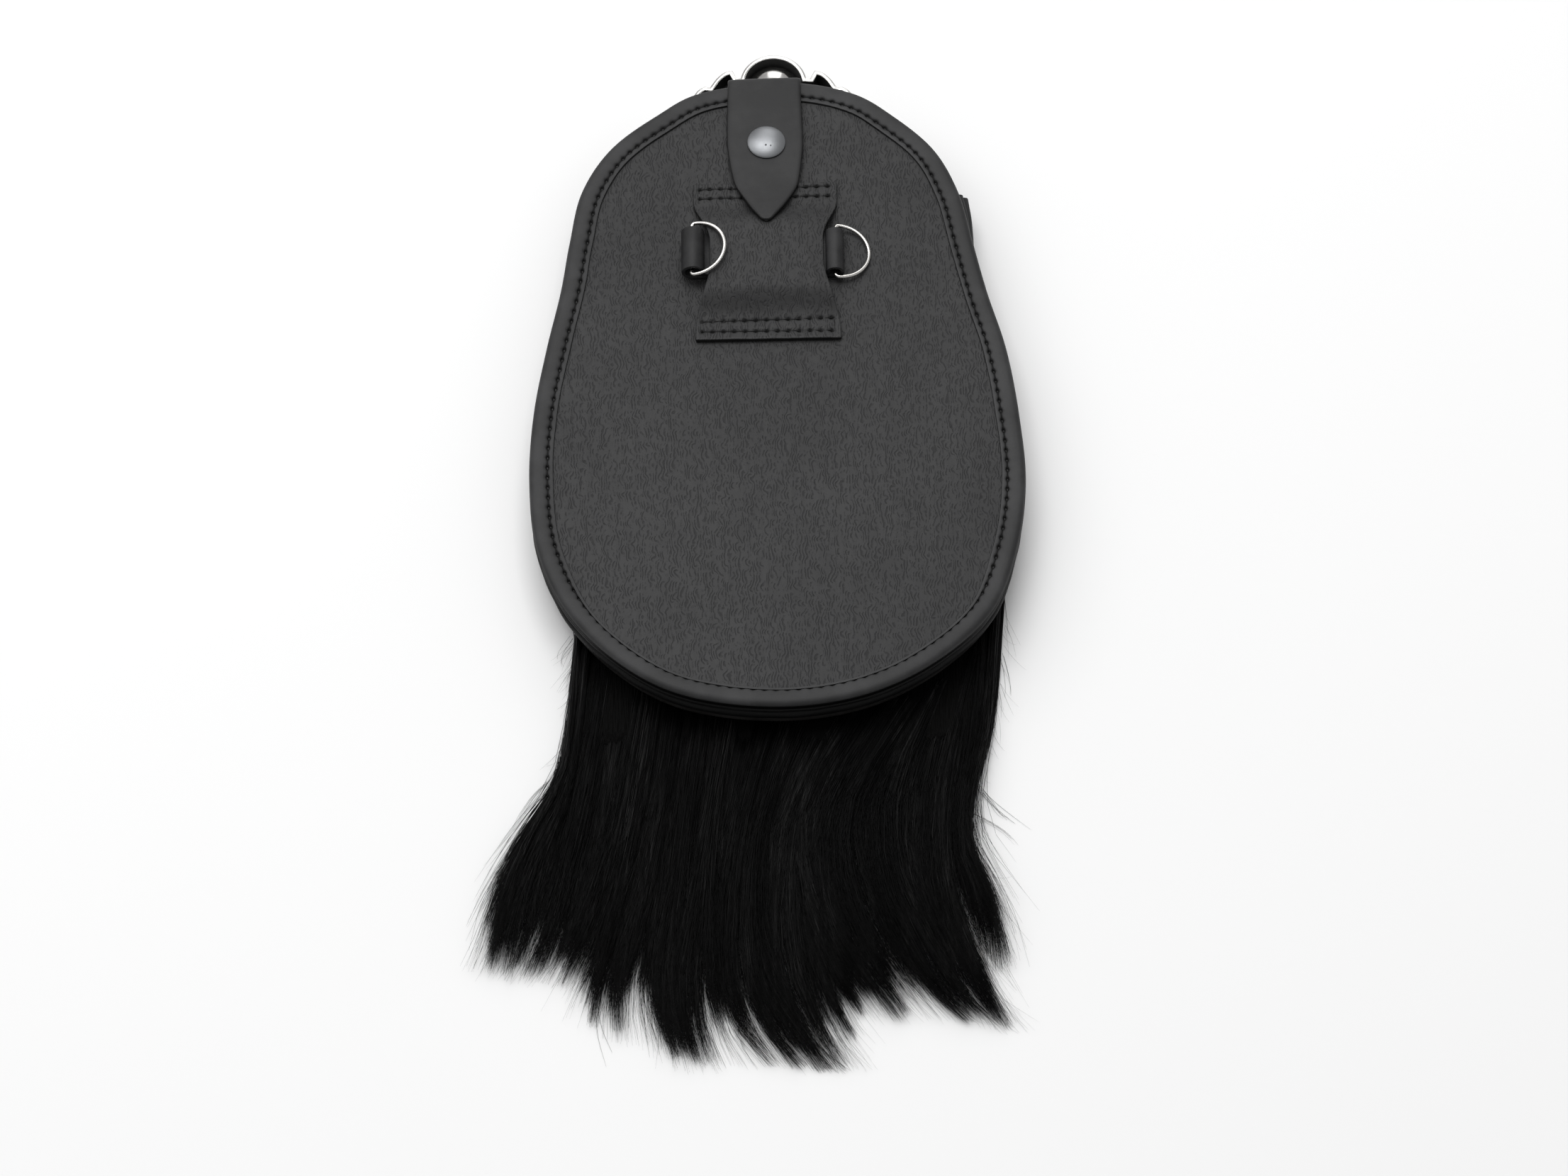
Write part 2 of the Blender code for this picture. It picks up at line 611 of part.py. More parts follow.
def make_fur(group, locks, finish):
    edge = offset(pouch_outline(PELT_STATIONS), -PELT_INSET)
    edge[:, 1] = np.minimum(edge[:, 1], PELT_END_Y)
    rings = [[(x, y, z) for x, y in edge] for z in (PELT_TOP - PELT_LEATHER, PELT_TOP)]
    fur = add_mesh("fur", loft(rings, closed_path=False), group, finish)
    for number, row in enumerate(HAIR, start=1):
        make_lock(row, number, locks)
    join = fur.modifiers.new("locks", 'BOOLEAN')
    join.operation = 'UNION'
    join.operand_type = 'COLLECTION'
    join.collection = locks
    return fur


# ---------------------------------------------------------------- the whole pouch

def build():
    clear_scene()
    pouch = new_collection("sporran_pouch")
    cutters = new_collection("cutters")
    locks = new_collection("locks")

    grained = material("grained_leather", (0.022, 0.022, 0.024), 0.55)
    smooth = material("smooth_leather", (0.030, 0.030, 0.032), 0.45)
    hair = material("hair", (0.004, 0.004, 0.004), 0.55)
    silver = material("cantle_metal", (0.72, 0.71, 0.69), 0.22, 1.0)
    steel = material("ring_steel", (0.70, 0.69, 0.67), 0.20, 1.0)
    nickel = material("snap_nickel", (0.42, 0.43, 0.45), 0.38, 1.0)

    make_back_panel(pouch, grained)
    make_binding(pouch, smooth)
    make_gusset(pouch, smooth)
    make_front_panel(pouch, smooth)
    make_cantle(pouch, cutters, silver)
    make_tab(pouch, cutters, smooth)
    turned("snap_cap", CAP_PROFILE, SNAP_X, SNAP_Y, pouch, nickel)
    turned("snap_stud", STUD_PROFILE, SNAP_X, SNAP_Y, pouch, nickel)
    make_patch(pouch, grained)
    make_ring_strap(pouch, smooth)
    for name, x, z, y, tilt in RINGS:
        make_ring(name, x, z, y, tilt, pouch, steel)
    make_fur(pouch, locks, hair)


build()
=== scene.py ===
"""Long-haired sporran pouch, lying on its face with its leather back up.

Each section dresses one piece, in the order in which the pouch is put together. Lengths in the
tables are millimetres, as a maker measures them, and MM turns them into metres. Heights named
"above the back" are counted from the outer face of the leather back.
"""
import json
import math

import bmesh
import bpy
import numpy as np
from mathutils import Matrix, Vector, noise

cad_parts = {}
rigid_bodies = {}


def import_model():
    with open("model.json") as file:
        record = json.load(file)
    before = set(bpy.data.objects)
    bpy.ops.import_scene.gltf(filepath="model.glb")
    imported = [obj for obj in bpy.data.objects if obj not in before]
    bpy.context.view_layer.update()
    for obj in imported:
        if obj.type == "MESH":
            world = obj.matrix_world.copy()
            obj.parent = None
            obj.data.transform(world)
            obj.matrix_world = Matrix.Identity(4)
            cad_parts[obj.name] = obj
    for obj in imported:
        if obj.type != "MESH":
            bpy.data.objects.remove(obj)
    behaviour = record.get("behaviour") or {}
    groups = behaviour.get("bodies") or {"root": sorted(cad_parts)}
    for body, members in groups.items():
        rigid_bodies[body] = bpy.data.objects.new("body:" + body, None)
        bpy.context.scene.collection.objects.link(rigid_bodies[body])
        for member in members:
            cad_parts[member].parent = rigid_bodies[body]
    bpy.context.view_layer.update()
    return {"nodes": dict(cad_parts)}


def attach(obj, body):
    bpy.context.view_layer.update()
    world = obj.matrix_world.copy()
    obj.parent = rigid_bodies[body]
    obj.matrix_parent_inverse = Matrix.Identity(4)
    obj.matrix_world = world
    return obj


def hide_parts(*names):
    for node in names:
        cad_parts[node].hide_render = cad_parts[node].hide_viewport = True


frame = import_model()

MM = 0.001


# ---- floor, light and camera ----
# The pouch lies on a white studio sheet, under one large soft light and weaker ones from its upper
# left and from behind its top. The camera looks down on it at sixty degrees.

FLOOR_RADIUS = 6.0  # metres
FLOOR_FINISH = {"Base Color": (0.93, 0.93, 0.93, 1.0), "Roughness": 0.9, "Specular IOR Level": 0.1}
SURROUND = 0.42  # strength of the even white light from all round
CAMERA_AIM = Vector((6.9, -28.4, 22.2)) * MM
CAMERA_ELEVATION = math.radians(60)
CAMERA_DISTANCE = 2.5
PHOTO_WIDTH = 2212  # pixels
PHOTO_SCALE = 0.267 * MM  # metres to a pixel at the aim
SENSOR = 36.0
SOFT_LIGHTS = [  # name, place, size, watts
    ("window", (-1.6, 0.9, 1.9), 1.8, 14.0),
    ("overhead", (-0.2, 0.8, 2.5), 1.8, 39.0),
    ("far_window", (0.1, 2.4, 1.3), 1.2, 9.0),
]


def put_in_scene(name, data):
    """A new object of this mesh, curve, light or camera, linked into the scene."""
    thing = bpy.data.objects.new(name, data)
    bpy.context.scene.collection.objects.link(thing)
    return thing


floor_bm = bmesh.new()
bmesh.ops.create_circle(floor_bm, cap_ends=True, segments=96, radius=FLOOR_RADIUS)
floor_mesh = bpy.data.meshes.new("studio_floor")
floor_bm.to_mesh(floor_mesh)
floor_bm.free()
floor = put_in_scene("studio_floor", floor_mesh)
sheet_white = bpy.data.materials.new("studio_white")
sheet_white.use_nodes = True
for socket, value in FLOOR_FINISH.items():
    sheet_white.node_tree.nodes["Principled BSDF"].inputs[socket].default_value = value
floor_mesh.materials.append(sheet_white)

world = bpy.data.worlds.new("surround")
world.use_nodes = True
surround = world.node_tree.nodes["Background"].inputs
surround["Color"].default_value = (1.0, 1.0, 1.0, 1.0)
surround["Strength"].default_value = SURROUND
bpy.context.scene.world = world
bpy.context.scene.view_settings.view_transform = 'Standard'

for name, place, size, watts in SOFT_LIGHTS:
    light = bpy.data.lights.new(name, 'AREA')
    light.size = size
    light.energy = watts
    lamp = put_in_scene(name, light)
    lamp.location = place
    lamp.rotation_euler = (CAMERA_AIM - lamp.location).to_track_quat('-Z', 'Y').to_euler()

camera_data = bpy.data.cameras.new("camera")
camera_data.sensor_width = SENSOR
camera_data.sensor_fit = 'HORIZONTAL'
camera_data.lens = SENSOR * CAMERA_DISTANCE / (PHOTO_WIDTH * PHOTO_SCALE)
camera = put_in_scene("camera", camera_data)
camera_back = Vector((0.0, -math.cos(CAMERA_ELEVATION), math.sin(CAMERA_ELEVATION)))
camera.location = CAMERA_AIM + camera_back * CAMERA_DISTANCE
camera.rotation_euler = (math.pi / 2 - CAMERA_ELEVATION, 0.0, 0.0)
bpy.context.scene.camera = camera


# ---- back panel ----
# One sheet of stiff cowhide with a fine printed grain, black, flat but for the slight swell that
# leather keeps. Its edge is hidden in the binding.

BACK_FACE = 22.2  # height of the back's outer face above the floor
PANEL_LEATHER = 2.2
PANEL_INSET = 1.3  # inside the outline, within the binding's fold
PANEL_STATIONS = 240
PANEL_RINGS = 38
PANEL_HEART = np.array([4.0, 50.0])  # its rings close in on this point
PANEL_HEART_SHARE = np.array([0.0336, 0.06])  # width and length of the innermost ring
PANEL_SWELL = 0.35
PANEL_WAVES = [(1.0, 46.0, 1.7), (0.35, 17.0, 5.1)]  # share of the swell, size, seed
PANEL_CALM = 0.4  # share of the swell that is left round the patch
PANEL_CROWN = 0.4  # rise of its open middle, below the patch
PANEL_FLAT_RIM = 0.2  # swell and crown set in over this share of the way in
PATCH_FOOT_Y = 80.0
SWELL_FADE = 14.0  # below the patch's foot
CROWN_FADE = 12.0
OUTLINE_TOP = (10.0, 201.5)
OUTLINE_ROWS = [  # y, left x, right x
    (196.0, -27.5, 35.0),
    (186.0, -43.0, 49.5),
    (170.0, -61.0, 65.5),
    (150.0, -72.0, 75.0),
    (126.0, -76.5, 80.5),
    (104.0, -79.5, 85.5),
    (78.0, -84.5, 92.5),
    (48.0, -89.0, 97.0),
    (18.0, -90.0, 98.9),
    (-12.0, -86.5, 95.0),
    (-38.0, -75.5, 85.5),
    (-60.0, -56.0, 64.0),
    (-74.0, -32.5, 38.0),
]
OUTLINE_BOTTOM = (5.5, -79.5)
SPLINE_FINENESS = 24
GRAIN_STRETCH = (1.0, 0.80, 1.0)  # the printed grain is a little longer down the hide
GRAIN_RELIEF = 0.15
BACK_BLACK = (0.012, 0.012, 0.0125)
BACK_WORN = (0.027, 0.027, 0.0275)
# colours of the painted shade and the painted highlight that the pieces' marks call for
PAINTED_SHADE_BLACK = (0.0025, 0.0025, 0.0025)
PAINTED_HIGHLIGHT_GREY = (0.060, 0.060, 0.061)


class Wire:
    """A value on its way through a material. Arithmetic on it adds Math nodes."""

    def __init__(self, finish, socket):
        self.finish = finish
        self.socket = socket

    def out(self, name):
        """Another output of the same node."""
        return Wire(self.finish, self.socket.node.outputs[name])

    def _math(self, operation, first, second):
        return self.finish.node("Math", {"operation": operation}, {0: first, 1: second})

    def __add__(self, other):
        return self._math('ADD', self, other)

    def __radd__(self, other):
        return self._math('ADD', other, self)

    def __sub__(self, other):
        return self._math('SUBTRACT', self, other)

    def __rsub__(self, other):
        return self._math('SUBTRACT', other, self)

    def __mul__(self, other):
        return self._math('MULTIPLY', self, other)

    def __rmul__(self, other):
        return self._math('MULTIPLY', other, self)


class Finish:
    """A material, and the one way in which nodes are added to it."""

    def __init__(self, name, **sockets):
        self.material = bpy.data.materials.new(name)
        self.material.use_nodes = True
        self.tree = self.material.node_tree
        self.feed(**sockets)

    def feed(self, **sockets):
        """Sets or links sockets of the shader, named with _ for a space."""
        shader = self.tree.nodes["Principled BSDF"]
        for socket, value in sockets.items():
            self._set(shader.inputs[socket.replace("_", " ")], value)

    def node(self, kind, settings, inputs, out=0):
        """Adds a node: its settings first, then the values or links of its sockets."""
        made = self.tree.nodes.new("ShaderNode" + kind)
        for setting, value in settings.items():
            setattr(made, setting, value)
        for socket, value in inputs.items():
            self._set(made.inputs[socket], value)
        return Wire(self, made.outputs[out])

    def _set(self, socket, value):
        if isinstance(value, Wire):
            self.tree.links.new(value.socket, socket)
        elif hasattr(socket.default_value, "__len__") and len(value) < len(socket.default_value):
            socket.default_value = (*value, 1.0)
        else:
            socket.default_value = value

    def place(self, x=1.0, y=1.0, z=1.0):
        """The place on the piece in millimetres, stretched by a factor along each axis."""
        on_piece = self.node("TexCoord", {}, {}, out="Object")
        return self.node("Mapping", {}, {"Vector": on_piece, "Scale": (x / MM, y / MM, z / MM)})

    def marked(self, layer="mark"):
        """What the mesh's points carry in a layer."""
        return self.node("Attribute", {"attribute_name": layer}, {}, out="Fac")

    def grain(self, size, stretch=(1.0, 1.0, 1.0), detail=2.0, roughness=0.5, distortion=0.0):
        """Soft noise from 0 to 1 whose lumps are about size millimetres across."""
        inputs = {"Vector": self.place(*stretch), "Scale": 1.0 / (2.0 * size), "Detail": detail,
                  "Roughness": roughness, "Distortion": distortion}
        return self.node("TexNoise", {}, inputs)

    def step(self, value, low, high):
        """0 below low and 1 above high, smooth between them."""
        settings = {"interpolation_type": 'SMOOTHSTEP'}
        return self.node("MapRange", settings, {0: value, 1: low, 2: high, 3: 0.0, 4: 1.0})

    def between(self, value, low, high):
        """low where the value is 0 and high where it is 1."""
        return self.node("MapRange", {}, {0: value, 1: 0.0, 2: 1.0, 3: low, 4: high})

    def mix(self, share, colour, other):
        """The colour where share is 0, and the other one where it is 1."""
        return self.node("Mix", {"data_type": 'RGBA'}, {0: share, 6: colour, 7: other}, out=2)

    def bump(self, height, relief):
        """Relief in millimetres from a height of 0 to 1."""
        return self.node("Bump", {}, {"Height": height, "Distance": relief * MM, "Strength": 1.0})


def spline(points, count, closed=False):
    """A smooth curve through the points, read off at even steps along it."""
    points = [np.array(p, float) for p in points]
    if closed:
        points = [points[-1]] + points + points[:2]
    else:
        points = [2 * points[0] - points[1]] + points + [2 * points[-1] - points[-2]]
    fine = []
    for a, b, c, d in zip(points, points[1:], points[2:], points[3:]):
        knots = [0.0]
        for p, q in ((a, b), (b, c), (c, d)):
            knots.append(knots[-1] + math.sqrt(np.linalg.norm(q - p)))
        t0, t1, t2, t3 = knots
        for t in np.linspace(t1, t2, SPLINE_FINENESS, endpoint=False):
            ab = a + (b - a) * (t - t0) / (t1 - t0)
            bc = b + (c - b) * (t - t1) / (t2 - t1)
            cd = c + (d - c) * (t - t2) / (t3 - t2)
            abc = ab + (bc - ab) * (t - t0) / (t2 - t0)
            bcd = bc + (cd - bc) * (t - t1) / (t3 - t1)
            fine.append(abc + (bcd - abc) * (t - t1) / (t2 - t1))
    fine.append(points[-2])
    fine = np.array(fine)
    along = np.concatenate([[0.0], np.cumsum(np.linalg.norm(np.diff(fine, axis=0), axis=1))])
    wanted = np.linspace(0.0, along[-1], count, endpoint=not closed)
    return np.stack([np.interp(wanted, along, fine[:, k]) for k in range(fine.shape[1])], axis=1)


def pouch_outline(count):
    """The pouch's outline, anticlockwise seen from above its back, starting at its top."""
    left = [(x, y) for y, x, _ in OUTLINE_ROWS]
    right = [(x, y) for y, _, x in reversed(OUTLINE_ROWS)]
    return spline([OUTLINE_TOP, *left, OUTLINE_BOTTOM, *right], count, closed=True)


def unit(vectors):
    """The same directions, each of length one."""
    return vectors / np.linalg.norm(vectors, axis=1)[:, None]


def outward(path, closed=True):
    """Unit normals to the right of a path, which is outwards on an anticlockwise one."""
    if closed:
        along = np.roll(path, -1, axis=0) - np.roll(path, 1, axis=0)
    else:
        along = np.gradient(path, axis=0)
    return unit(np.stack([along[:, 1], -along[:, 0]], axis=1))


def lumps(x, y, size, seed=0.0):
    """Smooth noise from -1 to 1 over the pouch, with lumps of the given size."""
    return noise.noise(Vector((x / size, y / size, seed)))


def ease(t):
    """0 up to 0 and 1 from 1, smooth between them."""
    t = min(1.0, max(0.0, t))
    return t * t * (3 - 2 * t)


def bell(distance, width):
    """1 at no distance, falling smoothly to almost 0 at twice the width."""
    return math.exp(-(distance / width) ** 2)


def skin(rings, closed=False, marks=None):
    """A closed surface drawn out ring by ring. marks gives each ring's points a mark each, above 0
    where shade is painted dark and below 0 where a highlight is painted light."""
    bm = bmesh.new()
    mark = bm.verts.layers.float.new("mark")
    front = [bm.verts.new(Vector(p) * MM) for p in rings[0]]
    edges = [bm.edges.new((front[k - 1], front[k])) for k in range(len(front))]
    if not closed:
        bmesh.ops.contextual_create(bm, geom=edges)
    for v, value in zip(front, marks[0] if marks else []):
        v[mark] = value
    following = rings[1:] + rings[:1] if closed else rings[1:]
    for k, ring in enumerate(following, start=1):
        drawn = bmesh.ops.extrude_edge_only(bm, edges=edges)["geom"]
        fresh = {v for v in drawn if isinstance(v, bmesh.types.BMVert)}
        edges = [e for e in drawn if isinstance(e, bmesh.types.BMEdge) and fresh >= set(e.verts)]
        front = [next(e.other_vert(v) for e in v.link_edges if e.other_vert(v) in fresh)
                 for v in front]
        values = marks[k % len(marks)] if marks else [0.0] * len(ring)
        for v, point, value in zip(front, ring, values):
            v.co = Vector(point) * MM
            v[mark] = value
    if closed:
        bmesh.ops.remove_doubles(bm, verts=bm.verts, dist=0.001 * MM)
    else:
        bmesh.ops.contextual_create(bm, geom=edges)
    return bm


def piece(name, bm, finish, stands_for=None, body="pouch", crease=40.0):
    """Makes the finished mesh an object that rides on its body and shows for its CAD node."""
    bmesh.ops.recalc_face_normals(bm, faces=bm.faces)
    mesh = bpy.data.meshes.new(name)
    bm.to_mesh(mesh)
    bm.free()
    mesh.shade_smooth()
    mesh.set_sharp_from_angle(angle=math.radians(crease))
    mesh.materials.append(finish.material)
    thing = put_in_scene(name, mesh)
    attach(thing, body)
    if stands_for:
        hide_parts(stands_for)
    return thing


def painted_shade_and_highlight(leather, shade):
    """Painted shade, near black, where a piece's mark is above 0, as in holes and cut edges, and a
    painted highlight where it is below 0.
    """
    mark = leather.marked()
    shade = leather.mix(leather.step(mark, 0.05, 0.60), shade, PAINTED_SHADE_BLACK)
    return leather.mix(leather.step(0.0 - mark, 0.05, 1.0), shade, PAINTED_HIGHLIGHT_GREY)


def grained_leather(name, colour, worn):
    """Black leather with a fine, worm-like printed grain, pits and faint upright stretch marks."""
    leather = Finish(name, Specular_IOR_Level=0.30)
    flat = leather.place(*GRAIN_STRETCH)
    across = leather.node("SeparateXYZ", {}, {"Vector": flat}, out="X")
    swirl = across * 5.0 + leather.grain(1.8, GRAIN_STRETCH, detail=1.0) * 25.0
    worms = leather.node("Math", {"operation": 'SINE'}, {0: swirl})
    broken = leather.step(leather.grain(0.9, GRAIN_STRETCH), 0.38, 0.58)
    creases = leather.step(worms, -0.1, 0.95) * broken
    cells = leather.node("TexVoronoi", {}, {"Vector": flat, "Scale": 0.55})
    pits = 1.0 - leather.step(cells.out("Distance"), 0.10, 0.34)
    pits = pits * leather.step(cells.out("Color"), 0.52, 0.60)
    streaks = leather.grain(1.1, (1.0, 0.22, 1.0), detail=3.0)
    cloud = leather.grain(24.0, detail=3.0)
    height = 0.8 - creases * 0.6 - pits * 0.4 + streaks * 0.4
    shade = leather.mix(creases * 0.74 + pits * 0.45, worn, colour)
    shade = leather.mix(leather.step(streaks + cloud * 0.6, 0.62, 0.98) * 0.35, shade, colour)
    leather.feed(Base_Color=painted_shade_and_highlight(leather, shade),
                 Roughness=leather.between(cloud, 0.52, 0.60) + creases * 0.10,
                 Normal=leather.bump(height, GRAIN_RELIEF))
    return leather


outline = pouch_outline(PANEL_STATIONS)
panel_edge = outline - outward(outline) * PANEL_INSET
panel_inner = PANEL_HEART + (panel_edge - PANEL_HEART) * PANEL_HEART_SHARE


def panel_ring(share, z, swell):
    """A ring of the panel: share 1 at its edge and 0 at its middle."""
    ring = []
    for x, y in panel_inner + (panel_edge - panel_inner) * share:
        rise = swell * sum(part * lumps(x, y, size, seed) for part, size, seed in PANEL_WAVES)
        rise *= PANEL_CALM + (1.0 - PANEL_CALM) * ease((PATCH_FOOT_Y - y) / SWELL_FADE)
        crown = PANEL_CROWN * ease((PATCH_FOOT_Y - y) / CROWN_FADE) if swell else 0.0
        ring.append((x, y, z + (rise + crown) * ease((1.0 - share) / PANEL_FLAT_RIM)))
    return ring


panel_shares = 1.0 - np.linspace(0.0, 1.0, PANEL_RINGS) ** 0.9
panel_rings = [panel_ring(share, BACK_FACE - PANEL_LEATHER, 0.0) for share in (0.0, 0.5, 1.0)]
panel_rings += [panel_ring(share, BACK_FACE, PANEL_SWELL) for share in panel_shares]
back_leather = grained_leather("grained_back", BACK_BLACK, BACK_WORN)
piece("leather_back", skin(panel_rings), back_leather, "back_panel")


# ---- edge binding ----
# A strip of smooth thin leather, folded round the back's edge and sewn through. Its outer edge is
# round and full, its inner edge is cut, and the seam is pulled down into it at every hole.

STITCH_COUNT = 169
STATIONS_PER_STITCH = 6
SEAM_INSIDE = 7.0  # the seam's distance inside the outline
SEAM_GROOVE = 0.50  # half width of the groove that the thread lies in
HOLE_DEPTH = 0.90
HOLE_SHARE = 0.20  # half length of a hole, as a share of a stitch
HOLE_RADIUS = 0.80
PUCKER_DEPTH = 0.10  # the leather beside a hole is drawn down too
PUCKER_WIDTH = 2.0
BINDING_NARROWS = 1.4  # round the bottom its cut edge lies against the seam
NARROWS_FROM_Y = -20.0
NARROWS_OVER = 30.0
BINDING_WANDER = 0.16
BINDING_FULLNESS = 0.07
BINDING_RIDGE = 8.8  # inside the outline, where a highlight is painted on the top of the cut edge
BINDING_SECTION = [  # distance inside the outline, height above the back
    (9.1, 0.10), (9.2, 0.55), (9.0, 0.92), (8.5, 1.06), (7.8, 1.05), (7.45, 0.98),
    (7.22, 0.80), (7.0, 0.70), (6.78, 0.80), (6.55, 0.98), (6.1, 1.10), (5.2, 1.28),
    (3.8, 1.38), (2.4, 1.32), (1.25, 1.08), (0.5, 0.55), (0.1, -0.30), (0.0, -1.30),
    (0.15, -2.35), (0.7, -3.10), (1.6, -3.45), (3.5, -3.50), (6.0, -3.42), (6.0, -2.60),
    (3.0, -2.55), (1.3, -2.40), (1.0, -1.20), (1.15, 0.10), (5.0, 0.10),
]
BINDING_SIDE = -0.25  # below this height the binding faces down and outwards, and is painted in shade
BINDING_BLACK = (0.016, 0.016, 0.0165)
BINDING_WORN = (0.032, 0.032, 0.033)
SHADED_SIDE_GREY = (0.008, 0.008, 0.008)


def smooth_leather(name, colour, worn, relief, streak=(1.0, 1.0, 1.0), shine=0.32):
    """Smooth black strap leather: fine pores and faint scuffs."""
    leather = Finish(name, Specular_IOR_Level=shine)
    pores = leather.grain(0.30)
    folds = leather.grain(1.3, streak, detail=3.0, distortion=0.6)
    cloud = leather.grain(9.0, detail=4.0, roughness=0.6)
    shade = leather.mix(leather.step(cloud, 0.35, 0.70), colour, worn)
    shade = leather.mix(leather.step(pores, 0.62, 0.80) * 0.5, shade, colour)
    leather.feed(Base_Color=painted_shade_and_highlight(leather, shade),
                 Roughness=leather.between(cloud, 0.46, 0.60) + pores * 0.06,
                 Normal=leather.bump(pores * 0.4 + folds * 0.6, relief))
    return leather


binding_path = pouch_outline(STITCH_COUNT * STATIONS_PER_STITCH)
binding_normals = outward(binding_path)
binding_rings, binding_marks = [], []
for k, (point, normal) in enumerate(zip(binding_path, binding_normals)):
    x, y = point
    phase = (k % STATIONS_PER_STITCH) / STATIONS_PER_STITCH
    pull = bell(min(phase, 1.0 - phase), HOLE_SHARE)
    cut_in = BINDING_NARROWS * ease((NARROWS_FROM_Y - y) / NARROWS_OVER)
    cut_in += BINDING_WANDER * lumps(x, y, 13.0, 3.3)
    full = 1.0 + BINDING_FULLNESS * lumps(x, y, 22.0, 8.8)
    ring, marks = [], []
    for inside, z in BINDING_SECTION:
        off_seam = inside - SEAM_INSIDE
        groove = bell(off_seam, SEAM_GROOVE) if z > 0.0 else 0.0
        pucker = bell(off_seam, PUCKER_WIDTH) if z > 0.5 else 0.0
        height = z * full - (groove * HOLE_DEPTH + pucker * PUCKER_DEPTH) * pull
        inwards = inside - cut_in * ease(off_seam / 1.2)
        ring.append((*(point - normal * inwards), BACK_FACE + height))
        # Marks: painted shade in the seam's groove and holes, on the cut edge's side and below the
        # outer round, and a painted highlight along the top of the cut edge.
        edge_highlight = 0.55 * bell(inside - BINDING_RIDGE, 0.35) if z > 0.8 else 0.0
        shaded = ease((0.2 - z) / 1.3) + 0.8 * (inside > 9.05) * (z < 0.6)
        painted_shading = bell(off_seam, HOLE_RADIUS) * pull if z > 0.6 else 0.0
        marks.append(max(groove ** 3 * 0.6, painted_shading * 1.3) - edge_highlight + shaded)
    binding_rings.append(ring)
    binding_marks.append(marks)
binding_bm = skin(binding_rings, closed=True, marks=binding_marks)
# The faces that look down and outwards get a near-black, less shiny copy of the leather: painted
# shade.
for face in binding_bm.faces:
    face.material_index = int(max(v.co.z for v in face.verts) < (BACK_FACE + BINDING_SIDE) * MM)
binding_leather = smooth_leather("smooth_binding", BINDING_BLACK, BINDING_WORN, 0.05)
binding_shaded_side = smooth_leather("binding_shaded_side", PAINTED_SHADE_BLACK, SHADED_SIDE_GREY, 0.05, shine=0.08)
binding = piece("folded_binding", binding_bm, binding_leather, "edge_binding")
binding.data.materials.append(binding_shaded_side.material)


# ---- binding seam ----
# Waxed black thread, in a lock stitch 4.5 mm long. Each stitch lies in the groove between two
# holes.

THREAD_BLACK = (0.003, 0.003, 0.003)
THREAD_LIT = (0.009, 0.009, 0.009)
THREAD_WIDTH = 0.50
THREAD_HEIGHT = 0.42
THREAD_LEVEL = 0.70  # its middle above the back
STITCH_SHARE = 0.86  # of the way from hole to hole
STITCH_LEAN = 0.07  # a lock stitch lies a little across its seam


def sew(places):
    """One thread mesh: places holds, for each stitch, its middle, its direction and its length."""
    seam = bmesh.new()
    lying = Matrix.Rotation(math.pi / 2, 4, 'Y')
    for (x, y, z), (along_x, along_y), length in places:
        turn = Matrix.Rotation(math.atan2(along_y, along_x), 4, 'Z')
        size = Matrix.Diagonal((length * MM, THREAD_WIDTH * MM, THREAD_HEIGHT * MM, 1.0))
        put = Matrix.Translation(Vector((x, y, z)) * MM) @ turn @ size @ lying
        bmesh.ops.create_uvsphere(seam, u_segments=6, v_segments=5, radius=0.5, matrix=put)
    return seam


thread = Finish("waxed_thread", Roughness=0.55, Specular_IOR_Level=0.12)
strands = thread.grain(0.16, detail=1.0)
thread.feed(Base_Color=thread.mix(strands, THREAD_BLACK, THREAD_LIT),
            Normal=thread.bump(strands, 0.05))
holes = (binding_path - binding_normals * SEAM_INSIDE)[::STATIONS_PER_STITCH]
stitch_places = []
for one, two in zip(holes, np.roll(holes, -1, axis=0)):
    length = np.linalg.norm(two - one)
    along_x, along_y = (two - one) / length
    lean = (along_x - along_y * STITCH_LEAN, along_y + along_x * STITCH_LEAN)
    middle = (*((one + two) / 2), BACK_FACE + THREAD_LEVEL)
    stitch_places.append((middle, lean, length * STITCH_SHARE))
piece("binding_seam", sew(stitch_places), thread)


# ---- gusset ----
# A soft strip sewn between back and front all the way round from neck to neck. It lies folded
# once inwards, like a bellows, and its right end stands out a little at the neck.

GUSSET_LEATHER = 1.6
GUSSET_STATIONS = 260
GUSSET_WALL_POINTS = 21
GUSSET_END_Y = 152.0
GUSSET_LOW = 10.5  # it hangs between these heights above the floor
GUSSET_HIGH = 18.4
GUSSET_FOLDS = [  # share of its height, offset from the outline, share of the flare
    (1.00, -1.60, 0.15), (0.95, -0.95, 0.30), (0.84, -0.50, 0.50), (0.74, -0.85, 0.60),
    (0.62, -2.20, 0.70), (0.50, -1.10, 0.85), (0.32, -0.40, 1.00), (0.14, -0.80, 0.90),
    (0.00, -2.00, 0.80),
]
GUSSET_FLARE = [(0.0, 5.2), (14.0, 3.0), (28.0, 1.0), (40.0, 0.0)]  # along, outwards
GUSSET_SLACK = 0.45
HIDDEN_FROM_Y = 90.0  # below this it is painted wholly in the back's shade
HIDDEN_OVER = 60.0
GUSSET_BLACK = (0.010, 0.010, 0.0105)
GUSSET_WORN = (0.022, 0.022, 0.023)

